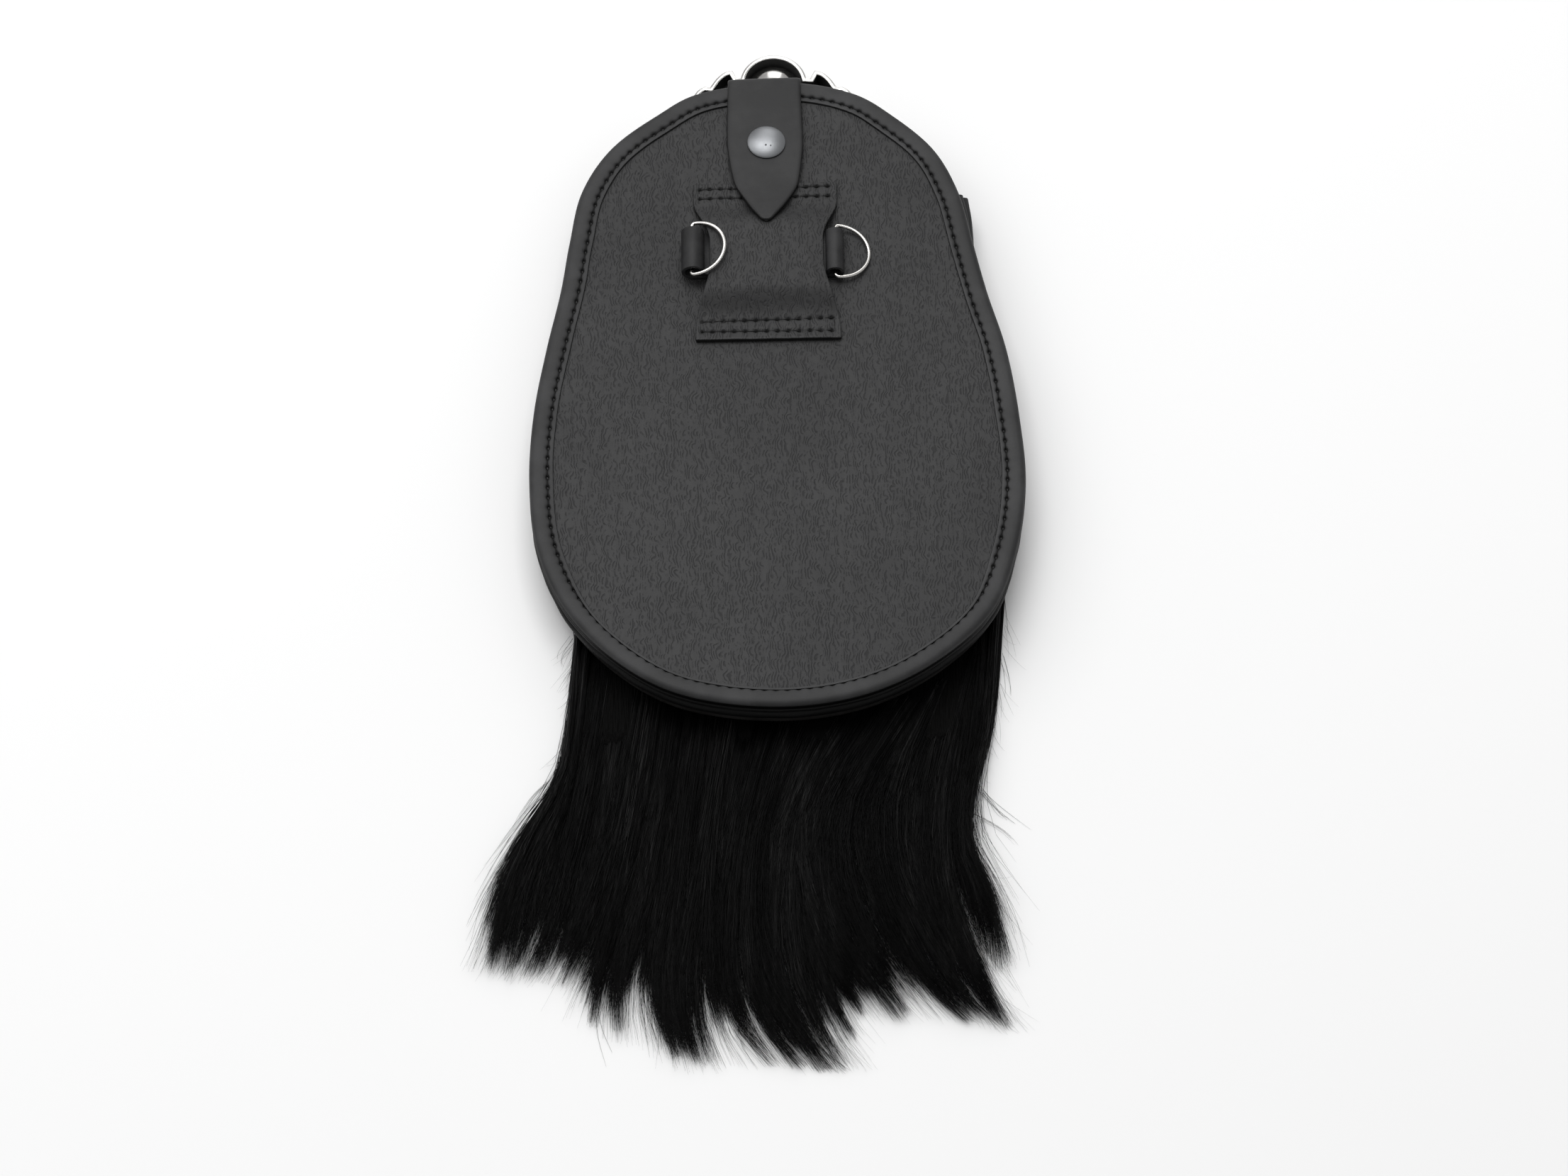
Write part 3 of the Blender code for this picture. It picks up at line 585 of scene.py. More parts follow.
fine_outline = pouch_outline(900)
below_neck = fine_outline[fine_outline[:, 1] < GUSSET_END_Y]
gusset_path = spline(below_neck[::-9], GUSSET_STATIONS)  # from the right neck round to the left
gusset_normals = -outward(gusset_path, closed=False)
gusset_steps = np.linalg.norm(np.diff(gusset_path, axis=0), axis=1)
gusset_along = np.concatenate([[0.0], gusset_steps.cumsum()])
gusset_spread = np.interp(gusset_along, *zip(*GUSSET_FLARE))
gusset_folds = spline(GUSSET_FOLDS, GUSSET_WALL_POINTS)
gusset_rings, gusset_marks = [], []
for (x, y), normal, spread in zip(gusset_path, gusset_normals, gusset_spread):
    hidden = ease((HIDDEN_FROM_Y - y) / HIDDEN_OVER)
    wall, marks = [], []
    for level, out, share in gusset_folds:
        slack = lumps(x * 3, y * 3, 30.0, level * 2.0) * math.sin(level * math.pi)
        wall.append((out + share * spread + GUSSET_SLACK * slack,
                     GUSSET_LOW + level * (GUSSET_HIGH - GUSSET_LOW)))
        # Marks: painted shade where it lies under the back, and a painted highlight on its fold
        # ridges elsewhere.
        ridge_highlight = abs(math.sin(level * math.pi * 2.0))
        marks.append(hidden - 0.5 * (1.0 - hidden) * ridge_highlight)
    lining = [(out - GUSSET_LEATHER, z) for out, z in reversed(wall)]
    gusset_rings.append([(x + normal[0] * out, y + normal[1] * out, z) for out, z in wall + lining])
    gusset_marks.append(marks + [0.0] * len(lining))
gusset_leather = smooth_leather("gusset_leather", GUSSET_BLACK, GUSSET_WORN, 0.10, shine=0.20)
piece("bellows_gusset", skin(gusset_rings, marks=gusset_marks), gusset_leather,
      "gusset")


# ---- front panel ----
# The pouch's front is cut from the same hide, a little smaller than the back. The pelt is sewn
# over it, so only its edge and its inside show.

FRONT_FACE = 8.0  # height of the front's outer face above the floor
FRONT_SECTION = [  # distance inside the outline, height above the outer face
    (5.0, 0.0), (1.9, 0.0), (1.6, 0.12), (1.5, 0.45), (1.5, 1.75), (1.6, 2.08), (1.9, 2.2),
    (5.0, 2.2),
]
FRONT_BLACK = (0.010, 0.0095, 0.009)
FRONT_WORN = (0.022, 0.021, 0.020)

front_rings = []
for inside, rise in FRONT_SECTION:
    front_edge = outline - outward(outline) * inside
    front_rings.append([(*point, FRONT_FACE + rise) for point in front_edge])
front_leather = smooth_leather("front_leather", FRONT_BLACK, FRONT_WORN, 0.08)
piece("leather_front", skin(front_rings), front_leather, "front_panel")


# ---- pelt ----
# Long-haired hide, sewn over the whole front. This is its skin and the dense wool close to it,
# pressed flat under the pouch and drawn out into locks below; the long hair lies over it.

UNDERFUR_VOXEL = 2.6
UNDERFUR_SMOOTHINGS = 3
UNDERFUR_SHRINK = 2.0  # it stays this far inside the hair
UNDERFUR_LOW = 1.5  # its underside clears the floor by this, for the hair below it
UNDERFUR_FLAT = 0.60  # share of its full depth
UNDERFUR_SHORT = 0.30  # share of the locks' length below the pouch
UNDERFUR_NARROW = 66.0  # half width that it keeps within there
UNDERFUR_MIDDLE = 2.0  # the pouch's middle x there
UNDERFUR_THINS = 0.75  # share of its depth that it loses there
UNDERFUR_THINS_OVER = 10.0
POUCH_END_Y = -79.5
UNDERFUR_BLACK = (0.0008, 0.0008, 0.0008)
UNDERFUR_BROWN = (0.0026, 0.0025, 0.0024)


def worked(thing):
    """The mesh that an object's modifiers or its sweep make of it. The object itself goes."""
    bpy.context.view_layer.update()
    settled = thing.evaluated_get(bpy.context.evaluated_depsgraph_get())
    mesh = bpy.data.meshes.new_from_object(settled)
    bm = bmesh.new()
    bm.from_mesh(mesh)
    bpy.data.batch_remove([thing, thing.data, mesh])
    return bm


pelt_bm = bmesh.new()
pelt_bm.from_mesh(frame["nodes"]["fur"].data)
bmesh.ops.remove_doubles(pelt_bm, verts=pelt_bm.verts, dist=0.01 * MM)
pelt_mesh = bpy.data.meshes.new("pelt_form")
pelt_bm.to_mesh(pelt_mesh)
pelt_bm.free()
pelt_form = put_in_scene("pelt_form", pelt_mesh)
felt = pelt_form.modifiers.new("felt", 'REMESH')
felt.mode = 'VOXEL'
felt.voxel_size = UNDERFUR_VOXEL * MM
pelt_bm = worked(pelt_form)
for _ in range(UNDERFUR_SMOOTHINGS):
    bmesh.ops.smooth_vert(pelt_bm, verts=pelt_bm.verts, factor=0.5, use_axis_x=True,
                          use_axis_y=True, use_axis_z=True)
pelt_bm.normal_update()
for v in pelt_bm.verts:
    x, y, z = (v.co - v.normal * UNDERFUR_SHRINK * MM) / MM
    below = 0.0
    if y < POUCH_END_Y:
        y = POUCH_END_Y + (y - POUCH_END_Y) * UNDERFUR_SHORT
        below = ease((POUCH_END_Y - y) / UNDERFUR_THINS_OVER)
        aside = x - UNDERFUR_MIDDLE
        x += (UNDERFUR_NARROW * math.tanh(aside / UNDERFUR_NARROW) - aside) * below
    z *= UNDERFUR_FLAT * (1.0 - UNDERFUR_THINS * below)
    z += UNDERFUR_LOW + 0.5 * noise.noise(Vector((x / 2.4, y / 30.0, 7.0)))
    v.co = Vector((x, y, z)) * MM
underfur = Finish("underfur", Roughness=0.6, Specular_IOR_Level=0.045)
fibres = underfur.grain(0.35, (1.0, 0.05, 1.0), detail=3.0)
underfur.feed(Base_Color=underfur.mix(fibres, UNDERFUR_BLACK, UNDERFUR_BROWN),
              Normal=underfur.bump(fibres, 0.9))
piece("pelt", pelt_bm, underfur, "fur")


# ---- long hair ----
# Straight, coarse, glossy black hair, up to twenty centimetres long. It is rooted all over the
# pelt, combed down, and falls into tapering wisps that part and curl at the hem. Each tress is
# laid along its combed lines, and within it the hairs draw together into wisps.

COMBED_LINES = {  # from left to right: x, y at each fifth of the way down
    "left": [
        (-71.9, -30.0, -73.8, -69.2, -76.7, -100.5, -86.4, -120.6, -95.4, -147.7, -99.4, -179.6),
        (-65.5, -49.1, -69.0, -84.4, -74.4, -113.9, -82.8, -134.0, -90.3, -156.5, -95.9, -182.5),
    ],
    "middle": [
        (-67.5, -50.6, -71.6, -85.9, -77.6, -116.9, -83.0, -138.0, -88.0, -163.0, -92.8, -184.2),
        (-53.4, -58.3, -58.3, -93.5, -63.7, -125.9, -71.7, -154.7, -78.7, -172.6, -85.4, -184.7),
        (-44.0, -63.4, -48.9, -99.5, -54.6, -131.8, -62.1, -160.6, -67.2, -177.0, -72.3, -186.4),
        (-35.9, -66.5, -40.9, -108.5, -47.2, -140.7, -54.2, -169.3, -59.2, -188.6, -60.6, -206.7),
        (-26.9, -67.6, -32.9, -114.5, -37.9, -149.6, -43.7, -175.2, -45.3, -194.4, -42.1, -210.6),
        (-17.6, -68.1, -23.7, -117.5, -28.2, -152.5, -32.4, -181.0, -31.5, -200.2, -25.2, -221.9),
        (-5.0, -68.2, -14.5, -117.5, -18.8, -152.5, -20.7, -181.0, -18.0, -200.2, -9.2, -217.5),
        (9.0, -68.8, -4.7, -117.5, -9.1, -152.5, -9.0, -181.0, -3.7, -200.2, 8.5, -218.6),
        (24.2, -68.2, 4.8, -117.5, 1.4, -152.5, 2.7, -181.0, 10.0, -200.2, 22.2, -219.5),
        (37.2, -68.6, 15.9, -114.5, 11.9, -146.6, 14.5, -175.2, 20.9, -197.3, 31.7, -221.1),
        (40.0, -68.6, 19.0, -114.0, 16.5, -146.0, 19.5, -166.0, 25.0, -180.0, 32.0, -194.0),
    ],
    "right": [
        (33.0, -68.7, 11.5, -112.5, 12.0, -146.6, 15.5, -164.0, 20.5, -175.5, 28.0, -186.5),
        (35.5, -68.7, 14.2, -112.5, 15.8, -146.6, 23.6, -169.3, 32.7, -185.7, 40.2, -197.9),
        (47.5, -67.1, 22.5, -117.5, 22.4, -146.6, 30.1, -169.3, 40.5, -187.2, 49.0, -199.6),
        (57.8, -66.1, 33.0, -114.5, 34.2, -143.7, 43.2, -169.3, 53.5, -188.6, 61.5, -199.7),
        (65.5, -60.7, 47.6, -108.5, 48.6, -140.7, 57.6, -166.4, 69.1, -188.6, 81.2, -200.8),
        (74.9, -50.9, 63.5, -99.5, 61.9, -128.9, 68.1, -157.6, 78.3, -184.3, 90.5, -204.5),
        (85.3, -36.4, 77.0, -84.4, 71.2, -116.9, 69.6, -142.9, 76.4, -168.2, 85.4, -197.0),
    ],
    "edge": [
        (77.0, -44.8, 72.0, -96.5, 69.9, -122.9, 74.1, -142.9, 79.9, -159.4, 84.2, -171.7),
        (90.8, -20.3, 85.6, -75.3, 76.6, -108.0, 75.3, -128.1, 83.5, -149.1, 86.5, -180.2),
    ],
    "front": [
        (-74.0, 100.0, -76.0, 60.0, -77.0, 20.0, -74.0, -20.0, -66.0, -60.0, -66.0, -100.0),
        (-40.0, 100.0, -42.0, 60.0, -44.0, 20.0, -45.0, -20.0, -47.0, -60.0, -52.0, -100.0),
        (2.0, 100.0, 2.0, 60.0, 1.0, 20.0, 0.0, -20.0, -1.0, -60.0, -3.0, -100.0),
        (44.0, 100.0, 46.0, 60.0, 48.0, 20.0, 49.0, -20.0, 48.0, -60.0, 48.0, -100.0),
        (80.0, 100.0, 83.0, 60.0, 86.0, 20.0, 84.0, -20.0, 79.0, -60.0, 72.0, -100.0),
    ],
}
HAIR_DEPTH = [  # y, height of the hair's top above the floor
    (-228.0, 2.8), (-212.0, 4.4), (-195.0, 5.8), (-175.0, 7.0), (-150.0, 8.0), (-120.0, 8.7),
    (-98.0, 8.9), (-84.0, 8.0), (-76.0, 7.2), (200.0, 7.2),
]
STRAY_WISPS = [  # a few hairs that lie apart: how many, then x, y along them
    (2, [(-62.5, -188.7), (-62.0, -196.4), (-60.7, -204.8), (-58.0, -213.2), (-56.2, -218.1)]),
    (3, [(78.2, -99.8), (82.6, -106.4), (88.9, -112.9), (93.9, -117.4), (98.2, -121.2)]),
    (4, [(76.7, -112.9), (80.6, -115.1), (85.0, -118.0), (90.0, -122.3), (93.8, -127.4)]),
    (3, [(80.7, -104.2), (83.9, -108.6), (86.4, -112.9), (89.5, -115.8), (92.1, -116.1)]),
    (5, [(74.5, -183.0), (79.4, -190.1), (84.4, -196.4), (89.3, -202.0), (92.4, -204.1)]),
    (5, [(17.6, -206.9), (22.6, -212.5), (27.0, -216.7), (30.7, -219.6), (32.0, -221.6)]),
    (3, [(-73.9, -70.5), (-76.1, -79.3), (-77.5, -85.2), (-76.5, -88.1), (-75.5, -89.9)]),
    (3, [(-73.1, -37.7), (-75.0, -40.7), (-77.6, -45.2), (-77.8, -48.2), (-76.8, -50.4)]),
    (4, [(-82.4, -99.8), (-87.5, -105.6), (-89.3, -108.6), (-92.4, -114.4), (-94.2, -120.2)]),
    (3, [(89.4, -45.2), (90.6, -51.2), (91.2, -55.6), (91.5, -60.1), (90.9, -64.8)]),
]
COMB_STEPS = 40  # steps down a combed line
HAIR_POINTS = 8
HAIR_GIRTH = (0.10, 0.17)  # a hair's half thickness at its root
HAIR_REACH = (0.80, 1.05)  # how far down the combed lines the wisps reach
HAIR_LOOSE = 0.26  # share of the hairs that keep out of the wisps
HAIR_LOW = 0.22  # the lowest that a hair's middle lies above the floor
LOCK_WIDTH = 12.0
LOCK_PULL = 0.16  # share of the way that the wisps' tips draw to the middle of their lock
LOCK_FALL = 0.42  # share of the depth by which a lock's sides lie lower
TRESS_FALL = 0.45  # and a tress's sides
WISP_FALL = 0.7
WISP_WANDER = 1.6
FLY_AWAY_LIMIT = 106.0  # furthest from the middle
MIDDLE_SHARES = (3000, 7200)  # where the middle tress is shared out over three pieces
SECTION_TURNS = (90, 210, 330)  # where the corners of a hair's section stand, in degrees
HAIR_BLACK = (0.0011, 0.0011, 0.0012)
HAIR_LIT = (0.040, 0.0396, 0.0392)


def combed(line):
    """Even steps down a combed line."""
    return spline(np.reshape(line, (-1, 2)), COMB_STEPS + 1)


def along_lines(fine, u, t):
    """Places on the sheet of combed lines: u counts across the lines, t from 0 to 1 along them."""
    across = np.minimum(u.astype(int), len(fine) - 2)
    down = np.minimum((t * COMB_STEPS).astype(int), COMB_STEPS - 1)
    share, part = (u - across)[:, None], (t * COMB_STEPS - down)[:, None]
    upper = (1 - share) * fine[across, down] + share * fine[across + 1, down]
    lower = (1 - share) * fine[across, down + 1] + share * fine[across + 1, down + 1]
    return (1 - part) * upper + part * lower


def tress(lines, count, seed, wisp=2.0, clump=0.86, root=0.0, under=False, girth=1.0, curl=0.0,
          spread=2.9):
    """Hairs along the combed lines: (points, half thickness) for each. Hairs draw together into
    wisps wisp millimetres wide, and wisps into locks. curl is how far the wisps' tips turn to
    the right, and spread how much they differ in that."""
    draw = np.random.default_rng(seed)
    fine = np.array([combed(line) for line in lines])
    last = len(lines) - 1
    width = np.linalg.norm(fine[-1] - fine[0], axis=1).max()
    per_mm = last / width
    locks = max(2, round(width / LOCK_WIDTH))
    lock_middle = (np.arange(locks) + draw.uniform(0.15, 0.85, locks)) / locks * last
    lock_reach = draw.uniform(-0.025, 0.025, locks)
    wisps = max(4, round(width / wisp))
    centre = (np.arange(wisps) + draw.uniform(0.0, 1.0, wisps)) / wisps * last
    own_lock = np.abs(centre[:, None] - lock_middle[None, :]).argmin(axis=1)
    shortest, longest = HAIR_REACH
    wisp_reach = draw.uniform(shortest + 0.06, longest - 0.02, wisps) + lock_reach[own_lock]
    swing = draw.normal(curl, spread, wisps)
    tightness = clump * draw.uniform(0.7, 1.1, wisps)
    wander = draw.uniform(0.0, 6.3, wisps)
    tip = np.linspace(0.0, 1.0, HAIR_POINTS) ** 0.75
    hairs = []
    for _ in range(count):
        loose = draw.uniform() < HAIR_LOOSE
        own = draw.uniform(0.0, last)
        k = int(np.abs(centre - own - draw.normal(0.0, 0.8) * per_mm).argmin())
        own_middle = lock_middle[own_lock[k]]
        length = wisp_reach[k] * (1.0 - 0.19 * draw.uniform() ** 1.8)
        if loose:
            length = draw.uniform(shortest - 0.15, longest + 0.01)
        start = root * draw.uniform()
        t = np.clip(start + (length - start) * tip, 0.0, 1.0)
        middle = centre[k] + (own_middle - centre[k]) * LOCK_PULL * t ** 2.5
        middle = middle + WISP_WANDER * per_mm * np.sin(t * 5.0 + wander[k]) * t
        drawn = min(0.97, tightness[k]) * tip ** 3.6 * (0.2 if loose else draw.uniform(0.8, 1.0))
        u = np.clip(own + (middle - own) * drawn, 0.0, last)
        flat = along_lines(fine, u, t)
        sway = draw.normal(0.0, 1.5) * np.sin(t * draw.uniform(3.0, 9.0) + draw.uniform(0, 6.3))
        flick = swing[k] * tip ** 3 + draw.normal(0.0, 5.5 if loose else 1.1) * tip ** 2.2
        x = flat[:, 0] + sway * t + flick
        y = flat[:, 1] + draw.normal(0.0, 0.8) + 0.12 * np.abs(flick)
        in_lock = (u - own_middle) / per_mm / LOCK_WIDTH * 2.0
        in_wisp = (u - centre[k]) / per_mm / wisp
        edge = np.abs(2.0 * u / last - 1.0)
        top = np.interp(y, *zip(*HAIR_DEPTH))
        top = top * (1.0 - LOCK_FALL * np.minimum(1.0, in_lock ** 2))
        top = top * (1.0 - TRESS_FALL * edge ** 5)
        if under:
            z = 0.25 + draw.uniform(0.0, 1.1) + 0.3 * np.sin(t * 7.0 + draw.uniform(0, 6.3)) ** 2
        else:
            lift = 0.3 * np.sin(t * draw.uniform(4.0, 11.0) + draw.uniform(0, 6.3))
            z = draw.uniform() ** 0.55 * (top - 0.3) + lift * np.minimum(1.0, top / 4.0)
            z = z - WISP_FALL * np.minimum(1.0, in_wisp ** 2) * np.minimum(1.0, top / 5.0)
        thick = draw.uniform(*HAIR_GIRTH) * girth * (0.6 if loose and not under else 1.0)
        taper = thick * (1.0 - 0.80 * tip ** 5.0)
        hairs.append((np.stack([x, y, np.maximum(z, HAIR_LOW)], axis=1), taper))
    return hairs


def stray_hairs(wisps, seed):
    """Thin hairs that lie apart from the rest, a few along each given line."""
    draw = np.random.default_rng(seed)
    hairs = []
    for count, line in wisps:
        fine = combed(line)
        for _ in range(count):
            t = np.linspace(0.0, draw.uniform(0.75, 1.0), HAIR_POINTS)
            at = np.minimum((t * COMB_STEPS).astype(int), COMB_STEPS)
            aside = draw.normal(0.0, 0.7, 2) + np.outer(t, draw.normal(0.0, 1.2, 2))
            height = 0.3 + draw.uniform(0.0, 0.9) * (1.0 - t)
            taper = draw.uniform(0.05, 0.08) * (1.0 - 0.8 * t ** 2)
            hairs.append((np.column_stack([fine[at] + aside, height]), taper))
    return hairs


def fly_aways(line, side, count, seed):
    """Very thin hairs that stand out from an outer edge, to the left (-1) or the right (1)."""
    draw = np.random.default_rng(seed)
    fine = combed(line)
    steps = np.linspace(0.0, 1.0, HAIR_POINTS)
    hairs = []
    for _ in range(count):
        at = draw.integers(2, COMB_STEPS - 4)
        along = fine[at + 2] - fine[at - 2]
        turn = math.atan2(along[1], along[0]) + side * draw.uniform(0.0, 0.6)
        turn = turn + draw.normal(0.0, 0.6) * steps
        walk = np.cumsum(np.stack([np.cos(turn), np.sin(turn)], axis=1), axis=0)
        path = fine[at] + walk * draw.uniform(4.0, 16.0) / HAIR_POINTS
        if np.abs(path[:, 0]).max() < FLY_AWAY_LIMIT:
            height = 1.0 + draw.uniform(0.0, 4.0) * (1.0 - 0.6 * steps)
            taper = draw.uniform(0.035, 0.055) * (1.0 - 0.7 * steps ** 2)
            hairs.append((np.column_stack([path, height]), taper))
    return hairs


def swept(name, lines, closed=False, **section):
    """One mesh of a section swept along lines, each given by its points and its half thickness."""
    curve = bpy.data.curves.new(name + "_lines", 'CURVE')
    curve.dimensions = '3D'
    for setting, value in section.items():
        setattr(curve, setting, value)
    for points, thick in lines:
        line = curve.splines.new('POLY')
        line.points.add(len(points) - 1)
        placed = np.column_stack([points * MM, np.ones(len(points))])
        line.points.foreach_set("co", placed.astype(np.float32).ravel())
        line.points.foreach_set("radius", thick.astype(np.float32))
        line.use_cyclic_u = closed
    return worked(put_in_scene(name + "_lines", curve))


hair_section = put_in_scene("hair_section", bpy.data.curves.new("hair_section", 'CURVE'))
hair_section.data.dimensions = '2D'
corners = hair_section.data.splines.new('POLY')
corners.points.add(len(SECTION_TURNS) - 1)
for corner, turn in zip(corners.points, np.radians(SECTION_TURNS)):
    corner.co = (math.cos(turn) * MM, math.sin(turn) * MM, 0.0, 1.0)
corners.use_cyclic_u = True
hair = Finish("long_hair", Roughness=0.40, Specular_IOR_Level=0.075)
# The lighter hairs, streaks and broad bands are a painted sheen.
fine_sheen = hair.step(hair.grain(0.5, (1.0, 0.02, 1.0)), 0.25, 0.75)
sheen_bands = hair.step(hair.grain(4.0, (1.0, 0.04, 1.0)), 0.38, 0.60)
hair.feed(Base_Color=hair.mix(hair.marked("sheen") * fine_sheen * sheen_bands, HAIR_BLACK, HAIR_LIT))


def lay_hair(name, hairs):
    """Joins all the hairs of a tress in one mesh. Each hair has a painted sheen of its own."""
    bm = swept(name, hairs, bevel_mode='OBJECT', bevel_object=hair_section, use_fill_caps=True)
    sheen = bm.verts.layers.float.new("sheen")
    sheens = np.random.default_rng(len(hairs)).uniform(0.0, 1.0, len(hairs)) ** 3
    per_hair = len(bm.verts) // len(hairs)
    for v in bm.verts:
        v[sheen] = sheens[v.index // per_hair]
    piece(name, bm, hair, crease=180.0)


middle_hair = tress(COMBED_LINES["middle"], 8800, 12, curl=2.0)
middle_hair.sort(key=lambda one: one[0][-1][0])  # by their tips, from left to right
first, second = MIDDLE_SHARES
lay_hair("hair_left", tress(COMBED_LINES["left"], 1300, 11) + middle_hair[:first])
lay_hair("hair_middle", middle_hair[first:second])
lay_hair("hair_right", middle_hair[second:] + tress(COMBED_LINES["edge"], 900, 14))
lay_hair("hair_far_right", tress(COMBED_LINES["right"], 4400, 23, curl=1.0, spread=1.9))
lay_hair("hair_front", tress(COMBED_LINES["front"], 1700, 15, wisp=6.0, clump=0.5, root=0.55,
                             under=True, girth=1.35))
strays = stray_hairs(STRAY_WISPS, 16)
strays += fly_aways(COMBED_LINES["left"][0], -1, 90, 17)
strays += fly_aways(COMBED_LINES["edge"][-1], 1, 90, 18)
lay_hair("hair_strays", strays)
bpy.data.batch_remove([hair_section, hair_section.data])


# ---- cantle ----
# A cast and polished frame on the front of the pouch's top, hollow behind like a shallow tray. Its
# rim stands above the pouch's edge as an arch with a boss in it and two lobes at each side.

CANTLE_X = 2.7
CANTLE_TOP = 224.8
CANTLE_RIM = 1.9
ARCH_RADIUS = 13.2
ARCH_END = 80.0  # degrees of arc from the top of the arch to the notch beside it
ARCH_STEPS = 18
CANTLE_RUNS = [  # points to draw, half width and drop below the arch's top; each is one curve
    (1, [(14.6, -11.0)]),
    (12, [(16.3, -7.3), (19.4, -8.2), (22.6, -11.2), (25.2, -15.4)]),
    (10, [(27.4, -15.1), (30.0, -16.9), (31.8, -20.0), (33.2, -24.5)]),
    (26, [(33.6, -24.8), (37.0, -27.8), (43.0, -33.0), (49.0, -42.5), (53.5, -54.0), (55.5, -62.5)]),
    (24, [(53.6, -66.5), (40.0, -62.5), (20.0, -58.0), (0.0, -56.5)]),
]
RIM_PROFILE = [  # share of the way from the outer to the inner edge, height
    (0.25, 0.0), (0.0, 0.35), (0.0, 7.05), (0.04, 7.36), (0.14, 7.58), (0.3, 7.68), (0.5, 7.7),
    (0.7, 7.68), (0.86, 7.58), (0.96, 7.36), (1.0, 7.05), (1.0, 2.1), (1.25, 1.5),
]
RIM_POLISHED = 9  # this many rows of the profile are polished, and the rest are in the hollow and painted in shade
BOSS_RADIUS = 10.1
BOSS_DROP = -12.1
BOSS_HEIGHT = 7.3
BOSS_FOOT = 0.75  # the boss starts this far up, within the plate
SILVER = (0.70, 0.69, 0.67)
SMEARED = (0.48, 0.47, 0.46)
HOLLOW_SHADE = (0.010, 0.010, 0.010)


def cantle_half():
    """Points down the right half of the outline."""
    arc = np.radians(np.linspace(0.0, ARCH_END, ARCH_STEPS))
    half = [(ARCH_RADIUS * math.sin(a), ARCH_RADIUS * (math.cos(a) - 1)) for a in arc]
    for count, run in CANTLE_RUNS:
        half += [tuple(p) for p in spline(run, count)] if count > 1 else run
    return np.array(half)


def inset_outline(path, distance):
    """The closed outline moved inwards, sharp corners moved along their mitre."""
    before = unit(path - np.roll(path, 1, axis=0))
    after = unit(np.roll(path, -1, axis=0) - path)
    side = np.stack([after[:, 1], -after[:, 0]], axis=1)
    mitre = unit(side + np.stack([before[:, 1], -before[:, 0]], axis=1))
    reach = np.clip(1.0 / np.abs((mitre * side).sum(axis=1)), 1.0, 1.6)
    return path - mitre * (distance * reach)[:, None]


right_half = cantle_half()
left_half = right_half[1:-1] * np.array([-1.0, 1.0])
cantle_edge = np.concatenate([right_half[:1], left_half, right_half[:0:-1]])
cantle_edge += np.array([CANTLE_X, CANTLE_TOP])
cantle_rings, cantle_marks = [], []
for row, (share, height) in enumerate(RIM_PROFILE):
    inset = inset_outline(cantle_edge, share * CANTLE_RIM)
    cantle_rings.append([(x, y, height) for x, y in inset])
    cantle_marks.append([float(row >= RIM_POLISHED)] * len(inset))
cantle_bm = skin(cantle_rings, marks=cantle_marks)
rim_points = len(cantle_bm.verts)
dome = bmesh.ops.create_uvsphere(cantle_bm, u_segments=48, v_segments=24, radius=1.0)["verts"]
dome_size = Matrix.Diagonal((BOSS_RADIUS, BOSS_RADIUS, BOSS_HEIGHT - BOSS_FOOT, 1.0))
bmesh.ops.transform(cantle_bm, matrix=dome_size, verts=dome)
dome_parts = dome + list({e for v in dome for e in v.link_edges})
dome_parts += list({f for v in dome for f in v.link_faces})
cut = bmesh.ops.bisect_plane(cantle_bm, geom=dome_parts, plane_co=(0, 0, 0), plane_no=(0, 0, 1),
                             clear_inner=True)
dome_rim = [e for e in cut["geom_cut"] if isinstance(e, bmesh.types.BMEdge)]
bmesh.ops.contextual_create(cantle_bm, geom=dome_rim)
cantle_bm.verts.ensure_lookup_table()
boss = cantle_bm.verts[rim_points:]
boss_middle = Vector((CANTLE_X, CANTLE_TOP + BOSS_DROP, BOSS_FOOT))
bmesh.ops.scale(cantle_bm, vec=(MM, MM, MM), verts=boss)
bmesh.ops.translate(cantle_bm, vec=boss_middle * MM, verts=boss)

cantle_metal = Finish("cantle_metal", Metallic=1.0)
cast = cantle_metal.grain(1.1, detail=4.0, roughness=0.65)
smears = cantle_metal.grain(2.2, (0.3, 1.0, 1.0), detail=3.0)
# The hollow is painted in shade: near black, dull and barely metallic.
dark = cantle_metal.step(cantle_metal.marked() + cast * 0.25, 0.45, 0.85)
bright = cantle_metal.mix(smears * 0.5, SILVER, SMEARED)
cantle_metal.feed(Base_Color=cantle_metal.mix(dark, bright, HOLLOW_SHADE), Metallic=1.0 - dark * 0.75,
                  Roughness=cantle_metal.between(dark, 0.16, 0.62) + smears * 0.08,
                  Normal=cantle_metal.bump(cast * dark + smears * 0.05, 0.25))
piece("polished_cantle", cantle_bm, cantle_metal, "cantle")


# ---- closing tab ----
# A tongue of smooth strap leather, fixed behind the front panel. It folds back over the mouth and
# down the back to a blunt point, where a press stud holds it.

